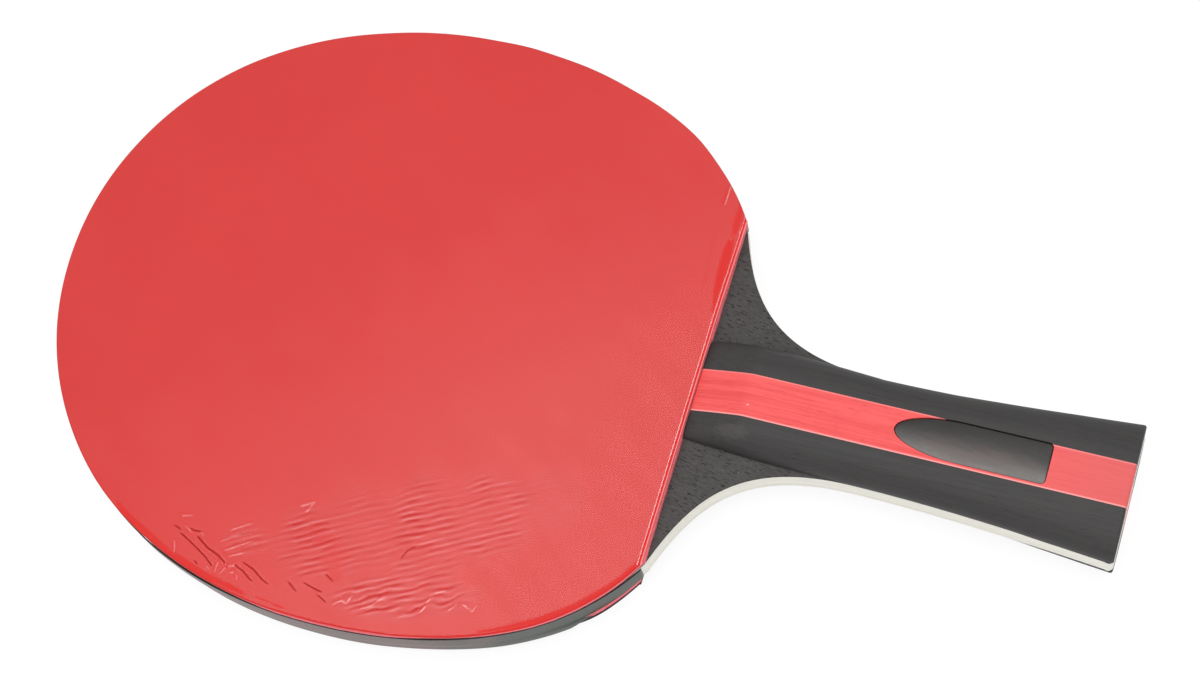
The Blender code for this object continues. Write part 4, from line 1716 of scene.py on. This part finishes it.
@dataclass
class EdgeTape:
    """Vinyl tape round the head, lifted in two places and cut on the slant at both shoulders."""

    shape: BladeShape
    gap: float = 0.08
    thickness: float = 0.28
    end_margin: float = 0.6
    cut: tuple[Pair, ...] = ((0.0, 3.6), (6.0, 3.1), (13.0, 2.4), (16.0, 1.7), (19.5, 0.0))
    lifts: tuple[Wave, ...] = (Wave(0.125, 0.075, 1.1), Wave(0.245, 0.07, 1.5))
    top_gap: float = 0.55
    top_wander: float = 0.06
    foot: Trim = Trim((
        (0.0, 0.1), (0.02, 0.3), (0.034, 0.6), (0.045, 0.5), (0.055, 0.3), (0.065, 0.15), (0.085, 0.08),
        (0.109, -0.23), (0.1275, -0.32), (0.146, -0.25), (0.158, -0.1), (0.17, -0.09), (0.19, -0.1),
        (0.208, -0.16), (0.227, -0.18), (0.246, -0.23), (0.266, -0.48), (0.275, -0.45), (0.29, -0.14),
        (0.304, 0.15), (0.324, 0.1), (0.345, 0.03),
    ))
    foot_heights: Pair = (7.4, 5.8)
    corner: float = 0.14
    corner_steps: int = 3
    heights: tuple[float, ...] = (0.12, 0.2, 0.25, 0.29, 0.33, 0.37, 0.45, 0.7, 0.94, 0.96)
    shaded_from: float = 0.955
    step: float = 0.7

    def build(self) -> None:
        """Skins the tape along the head's edge."""
        end_x = self.shape.edge_x - self.end_margin
        inner = self.shape.head_run(lambda share: self.gap, end_x)
        outer = self.shape.head_run(lambda share: self.gap + self.thickness, end_x)
        section = self.section()
        shares = steps_to(1.0, round(inner.length / self.step))
        shape = Shape()
        shape.tube(
            [self.ring(inner, outer, share, section) for share in shares],
            # painted shade: the steps near the tape's top edge are marked dark
            [1.0 if up > self.shaded_from else 0.0 for _, up, _ in section],
        )
        add_piece("edge_tape_strip", shape.into_mesh("edge_tape"), TapeFinish(), "edge_tape", "edge_tape")

    def ring(self, inner: Path, outer: Path, share: float, section: Sequence[Triple]) -> list[Vector]:
        """Lays the tape's section against the blade.

        Args:
            inner: The run of the tape's side towards the blade.
            outer: The run of its outer side.
            share: A share of both runs.
            section: The tape's section.

        Returns:
            The section's points there.
        """
        low, high = span("edge_tape")
        walked = share * inner.length
        floor = low + read_off(self.cut, min(walked, inner.length - walked))
        ceiling = high - self.top_gap - self.top_wander * (1 + wander(walked, 0.0, 7.0, 7.9))
        lift = sum(wave.at(share) for wave in self.lifts)
        near, far = inner.at(share), outer.at(share)
        outwards = (far - near).normalized()
        points = []
        for out, up, rise in section:
            level = floor + (ceiling - floor) * up + rise
            push = self.foot.at(share) * ease(level, *self.foot_heights)
            spot = near.lerp(far, out) + push * outwards
            points.append(Vector((spot.x, spot.y, level + lift)))
        return points

    def section(self) -> list[Triple]:
        """Draws the tape's section.

        Returns:
            Its points: shares out from the blade and up, and a rise past the latter.
        """
        radius = self.corner / self.thickness
        turns = [(math.sin(angle), math.cos(angle)) for angle in steps_to(QUARTER_TURN, self.corner_steps)]
        points = [(0.0, 0.0, 0.0)]
        points += [(1 - radius + radius * sine, 0.0, self.corner * (1 - cosine)) for sine, cosine in turns]
        points += [(1.0, height, 0.0) for height in self.heights]
        points += [(1 - radius + radius * cosine, 1.0, -self.corner * (1 - sine)) for sine, cosine in turns]
        points.append((0.0, 1.0, 0.0))
        return points + [(0.0, height, 0.0) for height in reversed(self.heights)]


@dataclass(frozen=True)
class BadgeShape:
    """The badge's outline: an elliptical nose and two rounded corners."""

    length: float = 35.2
    width: float = 9.9
    depth: float = 1.8
    nose_length: float = 15.5
    corner_radius: float = 1.2
    nose_behind: float = 46.6
    side_shift: float = 0.35
    nose_steps: int = 40
    corner_steps: int = 8

    def outline(self, edge_x: float, clearance: float) -> list[Vector]:
        """Draws the outline.

        Args:
            edge_x: Where the rubbers' straight edge is.
            clearance: How far the outline stays inside the recess.

        Returns:
            The closed outline's points.
        """
        half_width = self.width / 2 - clearance
        nose_x = edge_x + self.nose_behind + clearance
        nose = self.nose_length - clearance
        corner = Vector((edge_x + self.nose_behind + self.length - clearance, half_width))
        half = []
        for angle in steps_to(QUARTER_TURN, self.nose_steps):
            half.append(Vector((nose_x + nose * (1 - math.cos(angle)), half_width * math.sin(angle))))
        half += round_corner(corner, self.corner_radius - clearance, self.corner_steps)
        return [point + Vector((0, self.side_shift)) for point in half + mirrored(half)]


@dataclass
class Scale:
    """A handle scale of three strips: a red centre between two black ones."""

    shape: BladeShape
    badge: BadgeShape
    face: Face
    centre_width: float = 10.4
    centre_shift: float = -0.15
    joint: float = 0.02
    lip: float = 1.9
    slope_length: float = 12.6
    slope_curve: float = 1.1
    left_reach: tuple[Pair, ...] = (
        (29.1, 11.55), (30.0, 11.8), (33.0, 12.05), (38.2, 12.35), (47.8, 12.84), (57.7, 13.02), (69.1, 13.05)
    )
    right_reach: tuple[Pair, ...] = (
        (29.1, 12.3), (29.8, 12.75), (33.0, 13.3), (38.0, 13.75), (47.9, 13.85), (57.7, 13.4), (69.1, 12.75)
    )
    right_trim: tuple[Pair, ...] = ((69.1, -0.38), (87.0, -0.38), (96.0, -0.2), (108.0, -0.08), (114.0, 0.0))
    back_left_trim: tuple[Pair, ...] = (
        (29.1, -0.6), (96.0, -0.6), (104.0, -0.4), (112.0, -0.15), (122.0, 0.0)
    )
    side_wall: float = 0.3
    butt_round: float = 0.6
    front_gap: float = 0.15
    station_step: float = 0.9
    butt_steps: int = 5
    side_steps: int = 26
    top_steps: int = 10

    def build(self) -> None:
        """Makes the scale's strips, and cuts the badge's recess into the front ones."""
        for strip in Strip:
            node = self.face.node(strip.part)
            red = strip is Strip.CENTRE
            section = self.centre_section if red else self.side_section
            shape = Shape()
            shape.tube([section(x, strip) for x in self.stations()])
            data = shape.into_mesh(node)
            if self.face is Face.FRONT:
                data = self.recessed(data)
            finish = StripeFinish() if red else DyedWoodFinish()
            slot = "red_dyed_wood" if red else "black_dyed_wood"
            add_piece(f"{node}_wood", data, finish, slot, node)

    def stations(self) -> list[float]:
        """Sets out where the handle's section is drawn, closer together at the rounded butt.

        Returns:
            The sections' X, in order.
        """
        start = self.shape.edge_x + self.front_gap
        end = self.shape.butt_x - self.butt_round
        along = steps_to(end - start, round((end - start) / self.station_step))
        turns = steps_to(QUARTER_TURN, self.butt_steps)[1:]
        return [start + step for step in along] + [end + self.butt_round * math.sin(turn) for turn in turns]

    def bounds(self) -> Pair:
        """The scale's heights at the blade and at its top, over the middle of the blade."""
        bottom, top = self.face.heights("centre_strip")
        return abs(bottom - blade_middle()), abs(top - blade_middle())

    def height(self, x: float) -> float:
        """Slopes the scale's top in a curve at the front, and levels it behind.

        Args:
            x: A place along the handle.

        Returns:
            The top's height over the blade's middle.
        """
        bottom, top = self.bounds()
        lip = bottom + self.lip
        share = min((x - self.shape.edge_x) / self.slope_length, 1.0)
        return lip + (top - lip) * (1 - (1 - share) ** self.slope_curve)

    def reach(self, x: float, strip: Strip) -> float:
        """Trims a side strip, nearly flush with the blade from the waist on.

        Args:
            x: A place along the handle.
            strip: The left strip or the right one.

        Returns:
            How far the strip reaches from the middle.
        """
        right = strip is Strip.RIGHT
        side = self.shape.half_width(x)
        if x <= self.shape.edge_x + self.shape.waist_behind:
            side = min(side, read_off(self.right_reach if right else self.left_reach, x))
        elif right:
            side += read_off(self.right_trim, x)
        if self.face is Face.BACK and not right:
            side += read_off(self.back_left_trim, x)
        return side

    def butt_drop(self, x: float) -> float:
        """How far the surface falls back at a place near the butt, where its edge is rounded."""
        into = max(0.0, x - (self.shape.butt_x - self.butt_round))
        return self.butt_round - math.sqrt(max(self.butt_round**2 - into**2, 0.0))

    def point(self, x: float, y: float, height: float) -> Vector:
        """A point of the scale from its height over the blade's middle."""
        return Vector((x, y, blade_middle() + self.face.value * height))

    def side_section(self, x: float, strip: Strip) -> list[Vector]:
        """Draws a side strip's section: square against the centre strip, rounded outside.

        Args:
            x: Where the section is along the handle.
            strip: The left strip or the right one.

        Returns:
            The section's points.
        """
        bottom = self.bounds()[0]
        drop = self.butt_drop(x)
        inner = (self.centre_width + self.joint) / 2 + strip.value * self.centre_shift
        reach = self.reach(x, strip) - drop - inner
        wall = bottom + self.side_wall
        rise = self.height(x) - drop - wall
        flats = [(inner, bottom), (inner + reach, bottom)]
        for angle in steps_to(QUARTER_TURN, self.side_steps):
            flats.append((inner + reach * math.cos(angle), wall + rise * math.sin(angle)))
        return [self.point(x, strip.value * y, z) for y, z in flats]

    def centre_section(self, x: float, strip: Strip) -> list[Vector]:
        """Draws the centre strip's section, flat on top.

        Args:
            x: Where the section is along the handle.
            strip: The centre strip.

        Returns:
            The section's points.
        """
        bottom = self.bounds()[0]
        half = (self.centre_width - self.joint) / 2
        top = self.height(x) - self.butt_drop(x)
        flats = [(-half, bottom), (half, bottom)]
        flats += [(step - half, top) for step in reversed(steps_to(2 * half, self.top_steps))]
        return [self.point(x, y + self.centre_shift, z) for y, z in flats]

    def recessed(self, data: bpy.types.Mesh) -> bpy.types.Mesh:
        """Cuts the badge's recess out of a strip.

        Args:
            data: The strip's mesh.

        Returns:
            The cut mesh.
        """
        top = span("front_centre_strip")[1]
        depth = self.badge.depth
        shape = Shape()
        shape.plate(self.badge.outline(self.shape.edge_x, 0.0), top - depth, top + depth)
        block = put_in_scene("recess_block", shape.into_mesh("recess_block"))
        strip = put_in_scene("uncut_strip", data)
        cut = strip.modifiers.new("recess", "BOOLEAN")
        cut.operation = "DIFFERENCE"
        cut.solver = "EXACT"
        cut.object = block
        bpy.context.view_layer.update()
        graph = bpy.context.evaluated_depsgraph_get()
        done = bpy.data.meshes.new_from_object(strip.evaluated_get(graph))
        done.name = data.name
        for obj in (strip, block):
            bpy.data.objects.remove(obj, do_unlink=True)
        return smoothed(done)


@dataclass
class Badge:
    """The blank badge in the front scale, on its foam pad."""

    shape: BladeShape
    plan: BadgeShape
    clearance: float = 0.14
    edge_radius: float = 0.2

    def build(self) -> None:
        """Makes the badge and dresses its pad."""
        node = "handle_badge"
        low, high = span(node)
        shape = Shape()
        shape.plate(self.plan.outline(self.shape.edge_x, self.clearance), low, high)
        shape.round_off(shape.edges_at(high), self.edge_radius, 4)
        shape.round_off(shape.edges_at(low), self.edge_radius / 3, 2)
        add_piece("handle_badge_plate", shape.into_mesh(node), BadgeFinish(), "badge_plastic", node)
        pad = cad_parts["badge_adhesive_pad"]
        pad.data.materials.clear()
        pad.data.materials.append(PadFinish().material())


@dataclass
class Studio:
    """Floor, soft light and camera."""

    eye: Vector = Vector((143.8, -181.9, 568.6))
    target: Vector = Vector((3.634, 6.452, 13.5))
    roll: float = math.radians(-21.158)
    lens: float = 77.79
    sensor: float = 36.0
    floor_reach: float = 9.0
    contact_x: float = 44.0
    floor_rise: float = 3.5
    floor_gap: float = 0.05
    floor_run: float = 173.0
    floor_tone: Colour = (0.9, 0.9, 0.9)
    floor_shade: Colour = (0.15, 0.15, 0.15)
    floor_glow: float = 0.88
    lamp_radius: float = 0.62
    lamp_power: float = 8.35
    lamp_place: Vector = Vector((0.12, -0.15, 1.0))
    sky: float = 0.7

    def build(self) -> None:
        """Sets everything up."""
        self.add_floor()
        self.add_lamp()
        self.add_sky()
        self.add_camera()
        bpy.context.scene.view_settings.view_transform = "Standard"

    @staticmethod
    def seen_directly(sheet: NodeSheet) -> Socket:
        """Finds the rays that show the surroundings.

        Args:
            sheet: Where the nodes are wired.

        Returns:
            1 for rays from the camera, from mirrors and through glass.
        """
        path = sheet.add("ShaderNodeLightPath", {}).outputs
        most = sheet.calc("MAXIMUM", path["Is Camera Ray"], path["Is Glossy Ray"])
        return sheet.calc("MAXIMUM", most, path["Is Transmission Ray"])

    def add_floor(self) -> None:
        """A pale floor, tilted as the racket tilts when it rests on its tip and its handle."""
        shape = bmesh.new()
        bmesh.ops.create_grid(shape, x_segments=1, y_segments=1, size=self.floor_reach)
        turn = Matrix.Rotation(math.atan(self.floor_rise / self.floor_run), 4, "Y")
        pivot = Matrix.Translation((self.contact_x * MM, 0, -self.floor_gap * MM))
        bmesh.ops.transform(shape, matrix=pivot @ turn, verts=shape.verts)
        data = bpy.data.meshes.new("floor")
        shape.to_mesh(data)
        shape.free()
        data.materials.append(self.floor_paint())
        floor = put_in_scene("floor", data)

    def floor_paint(self) -> bpy.types.Material:
        """Wires matt white that shows nearly even where it is seen directly.

        Returns:
            The floor's material.
        """
        paint = bpy.data.materials.new("floor_paint")
        sheet = NodeSheet(paint)
        matte = sheet.add("ShaderNodeBsdfDiffuse", {"Color": self.floor_tone}).outputs[0]
        shaded = sheet.add("ShaderNodeBsdfDiffuse", {"Color": self.floor_shade}).outputs[0]
        glow = sheet.add("ShaderNodeEmission", {"Color": (1, 1, 1), "Strength": self.floor_glow}).outputs[0]
        bright = sheet.add("ShaderNodeAddShader", {0: shaded, 1: glow}).outputs[0]
        mix = sheet.add("ShaderNodeMixShader", {0: self.seen_directly(sheet), 1: matte, 2: bright})
        sheet.done(mix.outputs[0])
        return paint

    def add_lamp(self) -> None:
        """A large round softbox overhead, towards the racket's near right."""
        lamp = bpy.data.lights.new("softbox", "AREA")
        lamp.shape = "DISK"
        lamp.size = 2 * self.lamp_radius
        lamp.energy = self.lamp_power
        put_in_scene("softbox", lamp).location = self.lamp_place

    def add_sky(self) -> None:
        """An even pale surround, white where it is seen."""
        world = bpy.data.worlds.new("surround")
        bpy.context.scene.world = world
        sheet = NodeSheet(world)
        inputs = {"Value": self.seen_directly(sheet), "To Min": self.sky, "To Max": 1.0}
        level = sheet.add("ShaderNodeMapRange", inputs).outputs[0]
        back = sheet.add("ShaderNodeBackground", {"Strength": level}).outputs[0]
        sheet.done(back, "ShaderNodeOutputWorld")

    def add_camera(self) -> None:
        """The camera at the photograph's angle."""
        data = bpy.data.cameras.new("camera")
        data.lens = self.lens
        data.sensor_fit = "HORIZONTAL"
        data.sensor_width = self.sensor
        camera = put_in_scene("camera", data)
        aim = (self.target - self.eye).to_track_quat("-Z", "Y").to_matrix().to_4x4()
        turned = aim @ Matrix.Rotation(self.roll, 4, "Z")
        camera.matrix_world = Matrix.Translation(self.eye * MM) @ turned
        bpy.context.scene.camera = camera


def main() -> None:
    """Builds the racket, sub-assembly by sub-assembly."""
    logging.basicConfig(level=logging.INFO, format="%(message)s")
    shape = BladeShape.from_frame()
    badge = BadgeShape()
    red = RubberFinish(face_z=Face.FRONT.heights("topsheet")[1])
    black = RubberFinish(
        "black_topsheet",
        Face.BACK.heights("topsheet")[1],
        colour=(0.021, 0.021, 0.023),
        worn=(0.026, 0.026, 0.028),
        wall=(0.050, 0.030, 0.042),
        cut_highlight=(0.050, 0.030, 0.042),
        shine=0.5,
    )
    back_ends = {"setback": 1.3, "far_reach": 0.0, "sponge_reach": -1.2}
    assemblies = [
        Studio(),
        Blade(shape),
        Rubber(shape, Face.FRONT, red, "red_rubber", FRONT_TRIM, FRONT_TRIM, 0.08, FRONT_OVERHANG),
        Rubber(shape, Face.BACK, black, "black_rubber", BACK_TRIM, BACK_SPONGE_TRIM, **back_ends),
        Film(shape, FRONT_TRIM, FRONT_OVERHANG),
        EdgeTape(shape),
        Scale(shape, badge, Face.FRONT),
        Scale(shape, badge, Face.BACK),
        Badge(shape, badge),
    ]
    for assembly in assemblies:
        assembly.build()
        log.info("%s is built", type(assembly).__name__)


if __name__ == "__main__":
    main()
